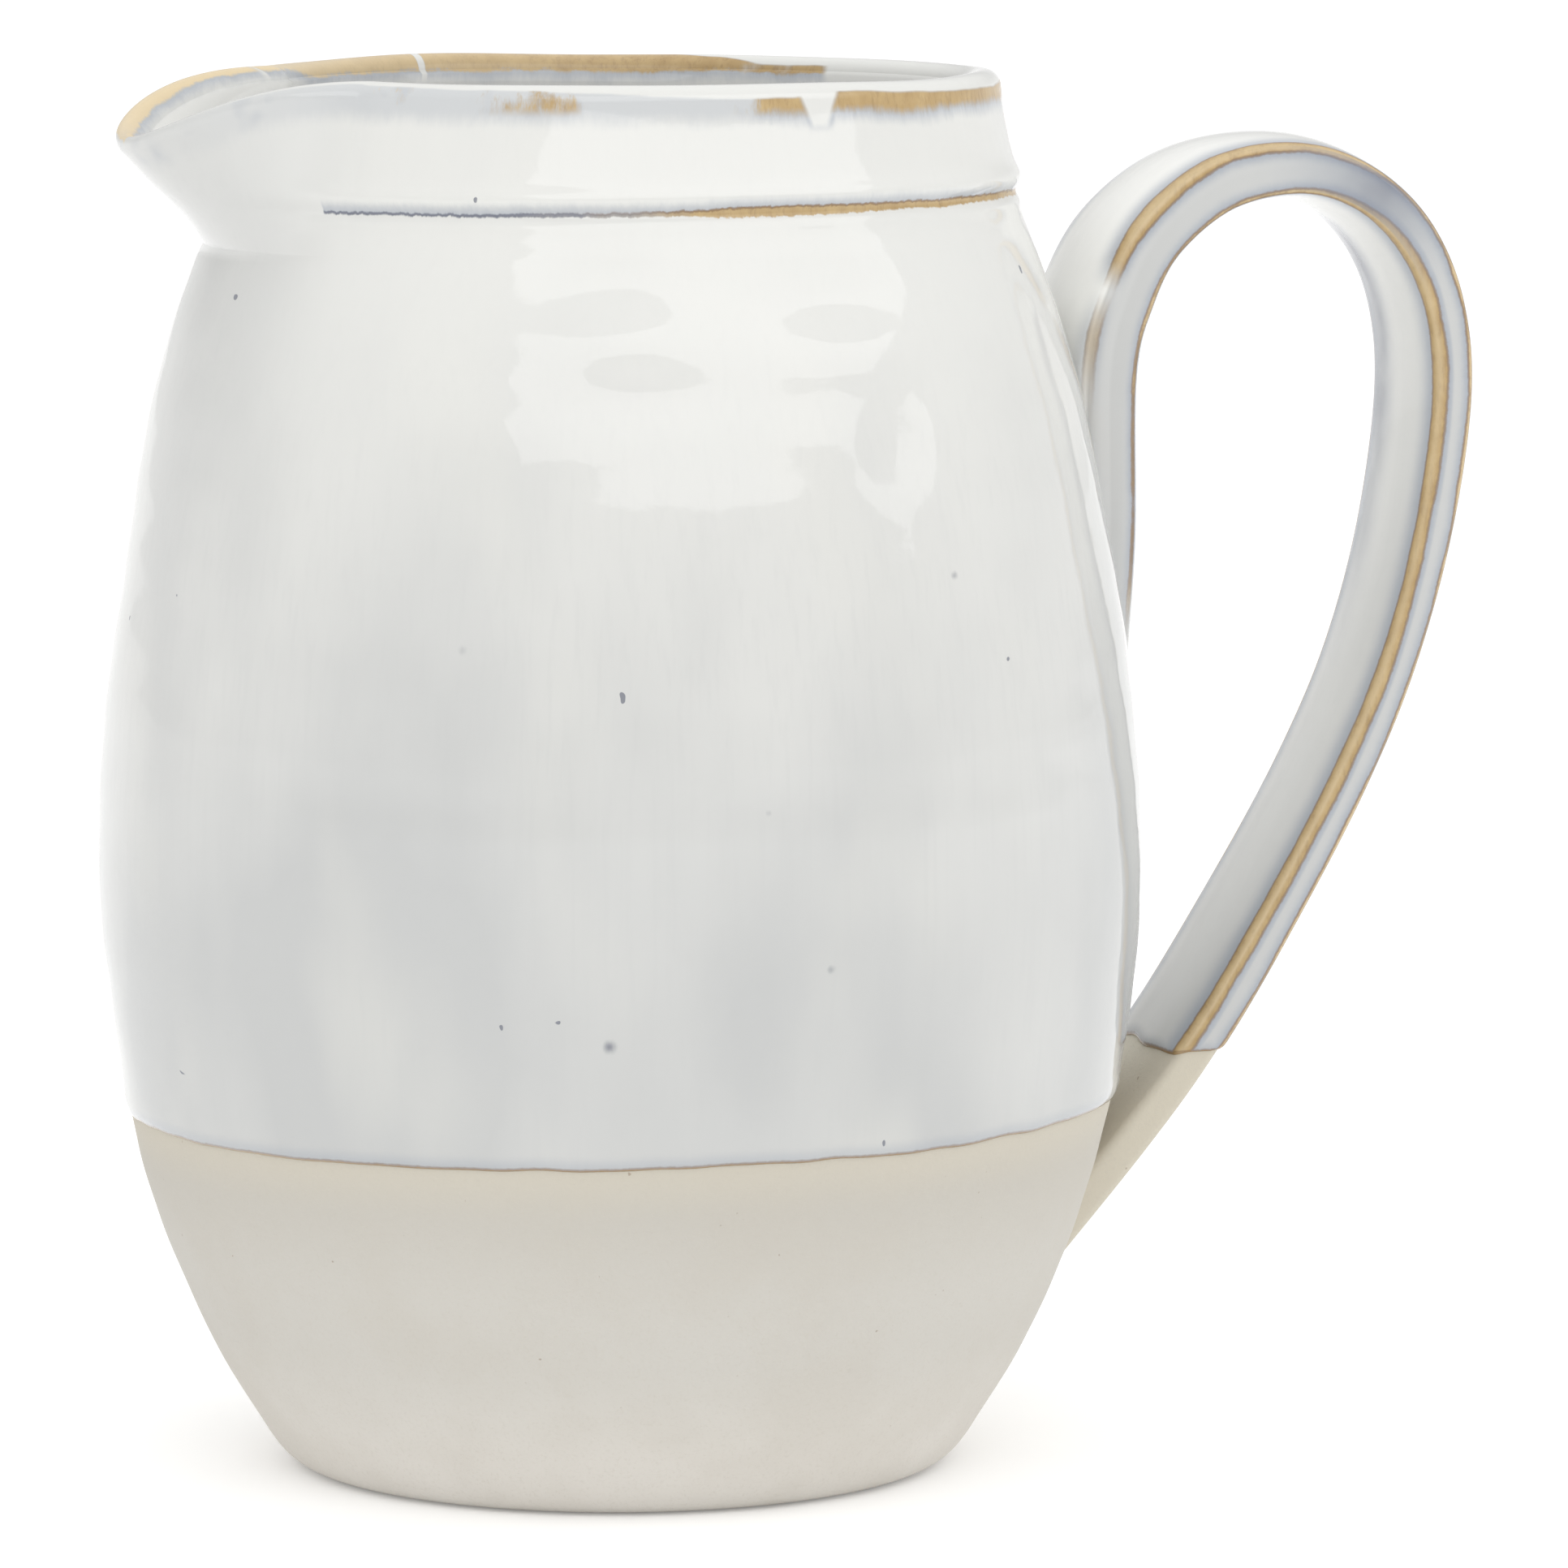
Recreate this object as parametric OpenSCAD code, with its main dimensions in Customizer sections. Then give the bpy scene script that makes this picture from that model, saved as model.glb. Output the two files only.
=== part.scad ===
// Ceramic pitcher: a thrown stoneware jug with a pinched spout and a pulled strap handle,
// glazed inside and dipped in white glaze over the upper three quarters of the outside.
// Millimetres, +Z up, spout towards -X, handle towards +X. The origin is the centre of the
// flat foot ring that the pitcher rests on.

/* [Body] */
// Height of the rim above the table
pitcher_h = 173.4; // [171:0.2:176]
// Widest diameter of the bare clay belly
belly_d = 128.4; // [126:0.2:131]
// Outside diameter of the flat foot ring
foot_d = 75; // [71:0.5:77]
// Inside diameter of the flat foot ring
foot_hollow_d = 62; // [56:1:66]
// Depth of the hollow inside the foot ring
foot_hollow = 1.2; // [0.8:0.1:2]
// Thickness of the clay wall
wall_t = 4; // [3.5:0.1:4.5]
// Height of the clay floor's upper face above the table
floor_z = 6.2; // [5.5:0.1:7]

/* [Collar and rim] */
// Outside diameter of the glazed rim
rim_d = 94.5; // [92:0.5:97]
// Height of the collar, from the shoulder to the rim
collar_h = 21; // [20:0.5:22]
// Thickness of the glazed lip
lip_t = 4.4; // [4:0.1:5]
// Height of the lip's rounded top
lip_rise = 2; // [1.5:0.1:2.4]
// Distance of the thrown ridge below the rim
ridge_below_rim = 13.2; // [12:0.2:14]
// How far the ridge stands proud
ridge_proud = 0.4; // [0.2:0.05:0.6]

/* [Spout] */
// Distance of the spout's tip from the pitcher's axis
spout_reach = 62.5; // [60:0.1:65]
// How far the spout's lip dips below the rim
spout_dip = 7.3; // [5:0.1:8]
// How far the spout's lip leans outwards
spout_tilt = 1.2; // [0.8:0.1:1.5]
// Angle from the spout's middle to where it joins the round rim
spout_half_angle = 33; // [31:0.5:35]

/* [Handle] */
// Width of the strap over its glaze, away from its ends
strap_w = 22; // [20:0.5:23]
// How much wider the strap spreads at its upper end
strap_spread = 4.5; // [3:0.5:6]
// Thickness of the strap over its glaze, along its outer run
strap_t = 7; // [6.4:0.1:7.6]
// How much thicker the strap is at its upper end
upper_swell = 3.4; // [2:0.1:4]
// How much wider the strap spreads at its lower end
strap_foot_spread = 1.5; // [1:0.5:3]
// How much thicker the strap is at its lower end
lower_swell = 0.7; // [0.4:0.1:1.2]
// Squareness of the strap's section: 2 is an ellipse
strap_squareness = 3; // [2.6:0.2:4]
// Thickness of the slip that joins the strap to the wall
slip_t = 0.8; // [0.7:0.05:1]
// How far the slip shows beyond the strap's sides
slip_margin = 0.8; // [0.5:0.1:1]

/* [Glaze] */
// Thickness of the glaze coats
glaze_t = 0.5; // [0.4:0.05:0.6]
// Height of the glaze's lower edge on the body
glaze_line = 44.5; // [42:0.5:47]
// Height of the glaze's lower edge on the handle
handle_glaze_line = 49; // [47:0.5:52]

/* [Hidden] */
$fn = 96;

CLAY = [0.80, 0.78, 0.73];
SLIP = [0.74, 0.70, 0.62];
GLAZE = [0.93, 0.93, 0.92];
LINER = [0.90, 0.90, 0.87];

belly_r = belly_d / 2;
rim_r = rim_d / 2;
collar_z = pitcher_h - collar_h;
lip_z = pitcher_h - lip_rise;

// Outside of the clay wall: [share of the pitcher's height, share of the belly's radius]
WALL = [[0.026, 0.69], [0.087, 0.789], [0.173, 0.889], [0.26, 0.951], [0.346, 0.98],
    [0.433, 1], [0.55, 0.986], [0.663, 0.944], [0.761, 0.894], [0.83, 0.84], [0.9, 0.77]];
WALL_MM = [for (p = WALL) [p[0] * pitcher_h, p[1] * belly_r]];

// Outside of the glazed collar: [height above the shoulder, radius beyond the rim's]
COLLAR_RISE = [-6, 0, 3.6, 7.6, 12.6, 18.8, 24];
COLLAR_GROWTH = [5.9, wall_r(collar_z) + glaze_t - rim_r, 2.8, 2.3, 1.2, 0.1, -0.2];
COLLAR_MM = [for (i = [0 : len(COLLAR_RISE) - 1])
    [collar_z + COLLAR_RISE[i], rim_r + COLLAR_GROWTH[i]]];

// Middle line of the strap: [distance beyond the belly, share of the pitcher's height]
STRAP = [[-5.2, 0.56], [-3.8, 0.66], [-3.5, 0.78], [-0.8, 0.836], [3.8, 0.88],
    [12.1, 0.915], [22.3, 0.9245], [31, 0.9095], [37.8, 0.875], [42, 0.823], [43.1, 0.755],
    [40.6, 0.655], [35.9, 0.56], [29.4, 0.476], [20.7, 0.387], [10.8, 0.297], [-0.3, 0.217],
    [-21.5, 0.08]];
STRAP_MM = [for (p = STRAP) [belly_r + p[0], p[1] * pitcher_h]];

// Slope of a curve through stations at station i, from its neighbours
function station_slope(p, i) =
    let(a = max(i - 1, 0), b = min(i + 1, len(p) - 1))
    (p[b][1] - p[a][1]) / (p[b][0] - p[a][0]);

// Cubic curve value at x, through stations [x, value] in rising x
function curve_at(p, x, i = 0) =
    i < len(p) - 2 && x > p[i + 1][0] ? curve_at(p, x, i + 1) :
    let(h = p[i + 1][0] - p[i][0], t = (x - p[i][0]) / h,
        m0 = station_slope(p, i) * h, m1 = station_slope(p, i + 1) * h)
    (1 + 2 * t) * (1 - t) * (1 - t) * p[i][1] + t * (1 - t) * (1 - t) * m0
    + t * t * (3 - 2 * t) * p[i + 1][1] - t * t * (1 - t) * m1;

// Point at share t of a cubic Bezier arc
function bezier(a, b, c, d, t) =
    pow(1 - t, 3) * a + 3 * t * pow(1 - t, 2) * b + 3 * t * t * (1 - t) * c + pow(t, 3) * d;

// Radius of the clay wall's outside at height z
function wall_r(z) = curve_at(WALL_MM, z);

// Outline of the wall's outside, from z_low to z_high, grown outwards
function wall_line(z_low, z_high, grow, steps) =
    [for (k = [0 : steps]) let(z = z_low + (z_high - z_low) * k / steps) [wall_r(z) + grow, z]];

// The inside of the pot below the collar, rising from the axis. A coat of thickness coat
// lies on the clay. The floor turns up into the wall between floor_flat_r and corner_z.
corner_z = 24;
floor_flat_r = 30;
floor_turn = 8;
wall_turn = 7;
turn_steps = 8;
inside_steps = 24;
function inside_line(coat) =
    let(top_r = wall_r(corner_z) - wall_t - coat,
        low = [floor_flat_r, floor_z + coat],
        slope = (wall_r(corner_z + 1) - wall_r(corner_z - 1)) / 2)
    concat([[0, floor_z + coat]],
        [for (k = [0 : turn_steps]) bezier(low, low + [floor_turn, 0],
            [top_r - wall_turn * slope, corner_z - wall_turn], [top_r, corner_z],
            k / turn_steps)],
        [for (k = [1 : inside_steps])
            let(z = corner_z + (collar_z - corner_z) * k / inside_steps)
            [wall_r(z) - wall_t - coat, z]]);

function reversed(p) = [for (i = [len(p) - 1 : -1 : 0]) p[i]];

// The foot: a hollow, a flat ring and a rounded heel up to the wall. The wall's outline goes
// on wall_start above the heel.
heel_z = WALL_MM[0][0];
hollow_slope = 2;
heel_turn = 3.5;
heel_lean = [1.7, 2.6];
heel_steps = 6;
wall_start = 3;
FOOT = concat(
    [[0, foot_hollow], [foot_hollow_d / 2 - hollow_slope, foot_hollow], [foot_hollow_d / 2, 0]],
    [for (k = [0 : heel_steps]) bezier([foot_d / 2, 0], [foot_d / 2 + heel_turn, 0],
        [wall_r(heel_z), heel_z] - heel_lean, [wall_r(heel_z), heel_z], k / heel_steps)]);

// How much of the spout there is at angle a from its middle: 1 in the middle, 0 on the round
spout_point = 1.15;
function spout_share(a) =
    abs(a) >= spout_half_angle ? 0 : pow(1 - pow(a / spout_half_angle, 2), spout_point);

// How far the lip dips at angle a from the spout's middle
dip_point = 2.5;
function lip_dip(a) =
    abs(a) >= spout_half_angle ? 0 : spout_dip * pow(cos(90 * a / spout_half_angle), dip_point);

// The thrown ridge and the groove under it, at height up over the ridge's crest
ridge_half = 1.3;
groove_drop = 2;
groove_half = 1;
groove_share = 1.2;
function ridge(up) = ridge_proud * (exp(-pow(up / ridge_half, 2))
    - groove_share * exp(-pow((up + groove_drop) / groove_half, 2)));

// Outside radius of the glazed collar at angle a and share w of its height
function collar_r(a, w) =
    let(z_top = lip_z - lip_dip(a), z = collar_z + w * (z_top - collar_z),
        s = spout_share(a))
    curve_at(COLLAR_MM, z) + (spout_reach - curve_at(COLLAR_MM, z_top)) * s * w
    + (1 - sqrt(s)) * ridge(z - (pitcher_h - ridge_below_rim));

// Length of a radial cut through the wall, over the wall's true thickness, at angle a
function side_stretch(a) =
    let(run = (collar_r(a + 1, 1) - collar_r(a - 1, 1)) / 2 * 180 / PI / collar_r(a, 1))
    sqrt(1 + run * run);

// Thickness of clay and glaze together, measured along the radius. The lip thins towards
// the spout's tip, and the spout is thicker halfway up.
tip_thinning = 0.18;
spout_swell = 1.2;
function collar_t(a, w) =
    let(base = wall_t + 2 * glaze_t, s = spout_share(a),
        stretch = 1 + (side_stretch(a) - 1) * w)
    (base + (lip_t * (1 - tip_thinning * s) - base) * w) * stretch
    * (1 + spout_swell * s * w * (1 - w));

// The collar's section at angle a, from the outside of the shoulder over the lip and down
// the inside. The section lies at depth d below the glazed surface. The lowest points are
// set in by seat, so that they land within the round wall below.
outer_steps = 12;
arc_steps = 6;
inner_steps = 5;
seat = 0.09;
function outer_side(a, d, seat_in) =
    [for (k = [0 : outer_steps]) let(w = k / outer_steps)
        [collar_r(a, w) - d - (k == 0 ? seat_in : 0),
            collar_z + w * (lip_z - lip_dip(a) - collar_z)]];
function lip_arc(a, d, from, to) =
    let(half = collar_t(a, 1) / 2, mid = collar_r(a, 1) - half,
        tilt = spout_tilt * spout_share(a) * side_stretch(a))
    [for (k = [from : to]) let(turn = 180 * k / arc_steps)
        [mid + (half - d) * cos(turn) + tilt * sin(turn),
            lip_z - lip_dip(a) + (lip_rise - d) * sin(turn)]];
function inner_side(a, d, seat_in) =
    [for (k = [inner_steps - 1 : -1 : 0]) let(w = k / inner_steps)
        [collar_r(a, w) - collar_t(a, w) + d + (k == 0 ? seat_in : 0),
            collar_z + w * (lip_z - lip_dip(a) - collar_z)]];

// Angles of the sections round the collar, closer together on the spout
fine_half_angle = 35;
fine_sections = 28;
coarse_sections = 50;
ANGLES = concat(
    [for (k = [0 : fine_sections - 1]) (2 * k / fine_sections - 1) * fine_half_angle],
    [for (k = [0 : coarse_sections - 1])
        fine_half_angle + (360 - 2 * fine_half_angle) * k / coarse_sections]);

// A closed ring made of one section at each angle, the spout's middle at -X
module ring_of(sections) {
    n = len(sections);
    m = len(sections[0]);
    points = [for (i = [0 : n - 1], p = sections[i])
        [-p[0] * cos(ANGLES[i]), -p[0] * sin(ANGLES[i]), p[1]]];
    faces = [for (i = [0 : n - 1], j = [0 : m - 1])
        let(i2 = (i + 1) % n, j2 = (j + 1) % m, a = i * m + j, b = i2 * m + j,
            c = i2 * m + j2, d = i * m + j2)
        each [[a, b, c], [a, c, d]]];
    polyhedron(points, [for (f = faces) reversed(f)], convexity = 6);
}

// Point of the strap's middle line at share t of its stations, by a smooth curve
function strap_at(t) =
    let(n = len(STRAP_MM) - 1, x = t * n, i = min(floor(x), n - 1), u = x - i,
        a = STRAP_MM[max(i - 1, 0)], b = STRAP_MM[i], c = STRAP_MM[i + 1],
        d = STRAP_MM[min(i + 2, n)])
    0.5 * (2 * b + (c - a) * u + (2 * a - 5 * b + 4 * c - d) * u * u
        + (3 * b - a - 3 * c + d) * u * u * u);

// Corner-rounded section of the strap: thickness along x, width along y
section_points = 16;
function strap_section(thick, wide) =
    [for (k = [0 : section_points - 1])
        let(turn = 360 * (k + 0.5) / section_points, c = cos(turn), s = sin(turn))
        [sign(c) * pow(abs(c), 2 / strap_squareness) * thick / 2,
            sign(s) * pow(abs(s), 2 / strap_squareness) * wide / 2]];

// A smooth fall from 1 at x = 0 to 0 at x = 1
function fade(x) = x <= 0 ? 1 : x >= 1 ? 0 : 1 - x * x * (3 - 2 * x);

// Thickness and width of the strap over its glaze at share t. It swells and spreads over
// these shares of its length at each end.
upper_swell_share = 0.65;
lower_swell_share = 0.28;
upper_spread_share = 0.3;
lower_spread_share = 0.25;
function strap_thick(t) = strap_t + upper_swell * fade(t / upper_swell_share)
    + lower_swell * fade((1 - t) / lower_swell_share);
function strap_wide(t) = strap_w + strap_spread * fade(t / upper_spread_share)
    + strap_foot_spread * fade((1 - t) / lower_spread_share);

// One section of the strap set square to its middle line at share t, at depth d below its
// glazed surface
near = 0.004;
function strap_ring(t, d) =
    let(p = strap_at(t), thick = strap_thick(t) - 2 * d, wide = strap_wide(t) - 2 * d,
        along = strap_at(min(t + near, 1)) - strap_at(max(t - near, 0)),
        side = [along[1], -along[0]] / norm(along))
    [for (q = strap_section(thick, wide)) [p[0] + side[0] * q[0], q[1], p[1] + side[1] * q[0]]];

// The whole strap at depth d below its glazed surface, with flat ends
strap_rings = 56;
module strap(d) {
    n = section_points;
    rings = [for (k = [0 : strap_rings]) strap_ring(k / strap_rings, d)];
    sides = [for (i = [0 : strap_rings - 1], j = [0 : n - 1])
        let(j2 = (j + 1) % n) each [[i * n + j, (i + 1) * n + j, (i + 1) * n + j2],
            [i * n + j, (i + 1) * n + j2, i * n + j2]]];
    polyhedron([for (r = rings) each r], concat([[for (j = [0 : n - 1]) j]],
        [[for (j = [n - 1 : -1 : 0]) strap_rings * n + j]], sides), convexity = 6);
}

// The clay wall and all inside it, grown outwards: it trims what is pressed onto the wall
wall_steps = 36;
module trimming_core(grow) {
    rotate_extrude()
        polygon(concat([[0, heel_z]], wall_line(heel_z, collar_z, grow, wall_steps),
            [[0, collar_z]]));
}

// A patch of slip on the wall behind one end of the strap, and the window it fills
upper_patch = [0.56 * pitcher_h, 0.8 * pitcher_h];
upper_patch_w = strap_w + strap_spread + 2 * slip_margin;
lower_patch = [0.112 * pitcher_h, 0.232 * pitcher_h];
lower_patch_w = strap_w + strap_foot_spread + 2 * slip_margin;
patch_corner = 5;
module patch_prism(span, patch_w) {
    tall = span[1] - span[0] - 2 * patch_corner;
    wide = patch_w - 2 * patch_corner;
    translate([belly_r / 2, 0, (span[0] + span[1]) / 2])
        rotate([90, 0, 90])
            linear_extrude(belly_r)
                union() {
                    square([patch_w, tall], center = true);
                    square([wide, tall + 2 * patch_corner], center = true);
                    for (sx = [-1, 1], sz = [-1, 1])
                        translate([sx * wide / 2, sz * tall / 2])
                            circle(patch_corner);
                }
}
patch_steps = 10;
module slip_patch(span, patch_w) {
    intersection() {
        rotate_extrude()
            polygon(concat(wall_line(span[0] - 1, span[1] + 1, slip_t, patch_steps),
                reversed(wall_line(span[0] - 1, span[1] + 1, 0, patch_steps))));
        patch_prism(span, patch_w);
    }
}

// Thrown stoneware wall, floor, foot ring, collar and pinched spout
module body() {
    color(CLAY) union() {
        rotate_extrude()
            polygon(concat(FOOT, wall_line(heel_z + wall_start, collar_z, 0, wall_steps),
                reversed(inside_line(0))));
        ring_of([for (a = ANGLES) concat(outer_side(a, glaze_t, seat),
            lip_arc(a, glaze_t, 1, arc_steps), inner_side(a, glaze_t, seat))]);
    }
}

// Pulled strap of the same clay
module handle() {
    color(CLAY) difference() {
        strap(glaze_t);
        trimming_core(slip_t);
    }
}

// Slip that joins the strap's long upper tail to the wall
module upper_slip_joint() {
    color(SLIP) slip_patch(upper_patch, upper_patch_w);
}

// Slip that joins the strap's lower end to the wall
module lower_slip_joint() {
    color(SLIP) slip_patch(lower_patch, lower_patch_w);
}

// White glaze on the outside, from the dipping line to the top of the rim. Its lower edge is
// bevelled: the corner lies at these shares of the coat's thickness outwards and upwards.
coat_steps = 28;
edge_rise = 1;
bevel_out = 0.75;
bevel_up = 0.2;
module outer_glaze() {
    color(GLAZE) difference() {
        union() {
            rotate_extrude()
                polygon(concat([[wall_r(glaze_line), glaze_line]],
                    [[wall_r(glaze_line) + bevel_out * glaze_t, glaze_line + bevel_up * glaze_t]],
                    wall_line(glaze_line + edge_rise, collar_z, glaze_t, coat_steps),
                    reversed(wall_line(glaze_line + edge_rise, collar_z, 0, coat_steps))));
            ring_of([for (a = ANGLES) concat(outer_side(a, 0, seat),
                lip_arc(a, 0, 1, arc_steps / 2), reversed(lip_arc(a, glaze_t, 0, arc_steps / 2)),
                reversed([for (k = [0 : outer_steps - 1]) outer_side(a, glaze_t, -seat)[k]]))]);
        }
        patch_prism(upper_patch, upper_patch_w);
    }
}

// Glaze on the inside, from the top of the rim to the floor
module liner_glaze() {
    color(LINER) union() {
        rotate_extrude()
            polygon(concat(inside_line(0), reversed(inside_line(glaze_t))));
        ring_of([for (a = ANGLES) concat(lip_arc(a, 0, arc_steps / 2, arc_steps),
            inner_side(a, 0, -seat), reversed(inner_side(a, glaze_t, seat)),
            reversed(lip_arc(a, glaze_t, arc_steps / 2, arc_steps)))]);
    }
}

// Glaze on the strap, down to its own dipping line
module handle_glaze() {
    color(GLAZE) difference() {
        strap(0);
        strap(glaze_t);
        trimming_core(slip_t);
        translate([belly_r * 0.5, -strap_w, 0])
            cube([belly_r * 1.5, 2 * strap_w, handle_glaze_line]);
    }
}

body();
handle();
upper_slip_joint();
lower_slip_joint();
outer_glaze();
liner_glaze();
handle_glaze();
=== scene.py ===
"""Ceramic pitcher: hand-thrown stoneware with a dipped off-white glaze, built round the CAD frame."""

import math

import bpy
import mathutils
import numpy as np
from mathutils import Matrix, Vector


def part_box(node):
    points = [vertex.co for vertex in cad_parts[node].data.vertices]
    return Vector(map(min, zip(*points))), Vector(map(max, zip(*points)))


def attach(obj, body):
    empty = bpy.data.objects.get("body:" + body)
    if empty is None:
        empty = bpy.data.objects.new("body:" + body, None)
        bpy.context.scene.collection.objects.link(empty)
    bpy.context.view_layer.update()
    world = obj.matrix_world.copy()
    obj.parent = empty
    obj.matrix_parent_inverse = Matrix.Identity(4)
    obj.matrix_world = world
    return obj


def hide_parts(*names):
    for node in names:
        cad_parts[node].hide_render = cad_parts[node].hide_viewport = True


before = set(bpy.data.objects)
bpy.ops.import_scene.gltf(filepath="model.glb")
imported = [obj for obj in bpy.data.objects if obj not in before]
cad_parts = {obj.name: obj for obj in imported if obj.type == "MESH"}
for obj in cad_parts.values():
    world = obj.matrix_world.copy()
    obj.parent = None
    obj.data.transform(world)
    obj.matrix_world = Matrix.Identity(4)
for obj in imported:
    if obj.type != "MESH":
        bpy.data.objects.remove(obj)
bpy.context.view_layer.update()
MM = 0.001


# ---------------------------------------------------------------- dimensions from the frame
def box_mm(node):
    """Lowest and highest corner of a node's box, in mm."""
    low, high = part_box(node)
    return np.array(low) / MM, np.array(high) / MM


BODY_HIGH = box_mm("body")[1]
GLAZE_LOW, GLAZE_HIGH = box_mm("outer_glaze")
LINER_LOW, LINER_HIGH = box_mm("liner_glaze")
HANDLE_GLAZE_LOW = box_mm("handle_glaze")[0]

PITCHER_H = GLAZE_HIGH[2]
BELLY_R = BODY_HIGH[1]
GLAZE_T = GLAZE_HIGH[1] - BODY_HIGH[1]
GLAZE_LINE = GLAZE_LOW[2]
HANDLE_GLAZE_LINE = HANDLE_GLAZE_LOW[2]
FLOOR_Z = LINER_LOW[2]
WALL_T = BODY_HIGH[1] - LINER_HIGH[1]

# The same shares and sizes as the CAD source, in millimetres. The wall's stations are (share of the
# height, share of the belly's radius), the strap's are (mm out from the belly, share of the height)
WALL = [(0.026, 0.69), (0.087, 0.789), (0.173, 0.889), (0.26, 0.951), (0.346, 0.98),
        (0.433, 1), (0.55, 0.986), (0.663, 0.944), (0.761, 0.894), (0.83, 0.84), (0.9, 0.77)]
STRAP = [(-5.2, 0.56), (-3.8, 0.66), (-3.5, 0.78), (-0.8, 0.836), (3.8, 0.88),
         (12.1, 0.915), (22.3, 0.9245), (31, 0.9095), (37.8, 0.875), (42, 0.823), (43.1, 0.755),
         (40.6, 0.655), (35.9, 0.56), (29.4, 0.476), (20.7, 0.387), (10.8, 0.297), (-0.3, 0.217),
         (-21.5, 0.08)]
FOOT_R = 37.5
FOOT_HOLLOW_R = 31.0
FOOT_HOLLOW = 1.2
RIM_R = 47.25
COLLAR_H = 21.0
LIP_T = 4.4
LIP_RISE = 2.0
RIDGE_BELOW_RIM = 13.2
RIDGE_PROUD = 0.4
SPOUT_REACH = 62.5
SPOUT_DIP = 7.3
SPOUT_TILT = 1.2
SPOUT_HALF_ANGLE = 33.0
STRAP_W = 22.0
STRAP_SPREAD = 4.5
STRAP_FOOT_SPREAD = 1.5
STRAP_T = 7.0
UPPER_SWELL = 3.4
LOWER_SWELL = 0.7

COLLAR_Z = PITCHER_H - COLLAR_H
LIP_Z = PITCHER_H - LIP_RISE


# ---------------------------------------------------------------- curves and noise
def curve(stations, x):
    """Cubic curve through stations (x, value) in rising x, the same one as in the CAD."""
    xs = np.array([s[0] for s in stations], float)
    ys = np.array([s[1] for s in stations], float)
    last = len(xs) - 1
    slopes = np.array([(ys[min(i + 1, last)] - ys[max(i - 1, 0)])
                       / (xs[min(i + 1, last)] - xs[max(i - 1, 0)]) for i in range(last + 1)])
    x = np.asarray(x, float)
    i = np.clip(np.searchsorted(xs, x, side="left") - 1, 0, last - 1)
    h = xs[i + 1] - xs[i]
    t = (x - xs[i]) / h
    return ((1 + 2 * t) * (1 - t) ** 2 * ys[i] + t * (1 - t) ** 2 * slopes[i] * h
            + t * t * (3 - 2 * t) * ys[i + 1] - t * t * (1 - t) * slopes[i + 1] * h)


def fade(x):
    """A smooth fall from 1 at x = 0 to 0 at x = 1."""
    x = np.clip(x, 0, 1)
    return 1 - x * x * (3 - 2 * x)


def rise(x, low, high):
    """A smooth rise from 0 at low to 1 at high."""
    return 1 - fade((np.asarray(x, float) - low) / (high - low))


def ripples(seed, count, turns, heights, a, z):
    """Smooth seeded noise round the pot, mostly between -1.5 and 1.5: waves in angle a (degrees) and
    height z (mm), from turns[0] to turns[1] of them round the pot, each heights[0] to heights[1] tall."""
    rng = np.random.default_rng(seed)
    total = np.zeros(np.broadcast(a, z).shape)
    for _ in range(count):
        n = rng.integers(turns[0], turns[1] + 1)
        k = 2 * math.pi / rng.uniform(*heights) * rng.choice([-1, 1])
        total = total + np.cos(n * np.radians(a) + k * z + rng.uniform(0, 2 * math.pi))
    return total / math.sqrt(count)


# Any wave height does where z is 0 everywhere
LEVEL = (900, 999)


# ---------------------------------------------------------------- the thrown surface
WALL_MM = [(z * PITCHER_H, r * BELLY_R) for z, r in WALL]


def wall_r(z):
    return curve(WALL_MM, z)


COLLAR_MM = [(COLLAR_Z + up, RIM_R + more) for up, more in
             [(-6, 5.9), (0, float(wall_r(COLLAR_Z)) + GLAZE_T - RIM_R), (3.6, 2.8), (7.6, 2.3),
              (12.6, 1.2), (18.8, 0.1), (24, -0.2)]]


def spout_share(a):
    """How much of the spout there is at angle a from its middle: 1 in the middle, 0 on the round."""
    return np.clip(1 - (a / SPOUT_HALF_ANGLE) ** 2, 0, 1) ** 1.15


def lip_dip(a):
    turn = np.clip(np.abs(a) / SPOUT_HALF_ANGLE, 0, 1) * math.pi / 2
    return SPOUT_DIP * np.cos(turn) ** 2.5


def collar_base(a, w):
    """Outside radius of the collar without its ridge, at angle a and share w of its height."""
    z_top = LIP_Z - lip_dip(a)
    z = COLLAR_Z + w * (z_top - COLLAR_Z)
    return curve(COLLAR_MM, z) + (SPOUT_REACH - curve(COLLAR_MM, z_top)) * spout_share(a) * w, z


def side_stretch(a):
    """How much longer a cut along the radius is than one square to the lip's face, at angle a."""
    run = (collar_base(a + 1, 1)[0] - collar_base(a - 1, 1)[0]) / 2 * 180 / math.pi
    return np.sqrt(1 + (run / collar_base(a, 1)[0]) ** 2)


def collar_t(a, w):
    """Thickness of clay and glaze together along the radius."""
    s = spout_share(a)
    base = WALL_T + GLAZE_T
    stretch = 1 + (side_stretch(a) - 1) * w
    return (base + (LIP_T * (1 - 0.18 * s) - base) * w) * stretch * (1 + 1.2 * s * w * (1 - w))


def groove_z(a):
    """Height of the groove under the thrown ridge. It rises a little towards the handle."""
    return PITCHER_H - RIDGE_BELOW_RIM - 2 + 0.5 * np.sin(np.radians(a - 75))


def ridge(a, z):
    """The thrown ridge and the groove under it. They fade out at the spout."""
    up = z - groove_z(a)
    shape = np.exp(-((up - 2) / 1.3) ** 2) - 1.4 * np.exp(-(up / 0.85) ** 2)
    return RIDGE_PROUD * (1 - spout_share(a) ** 0.5) * shape


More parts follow.
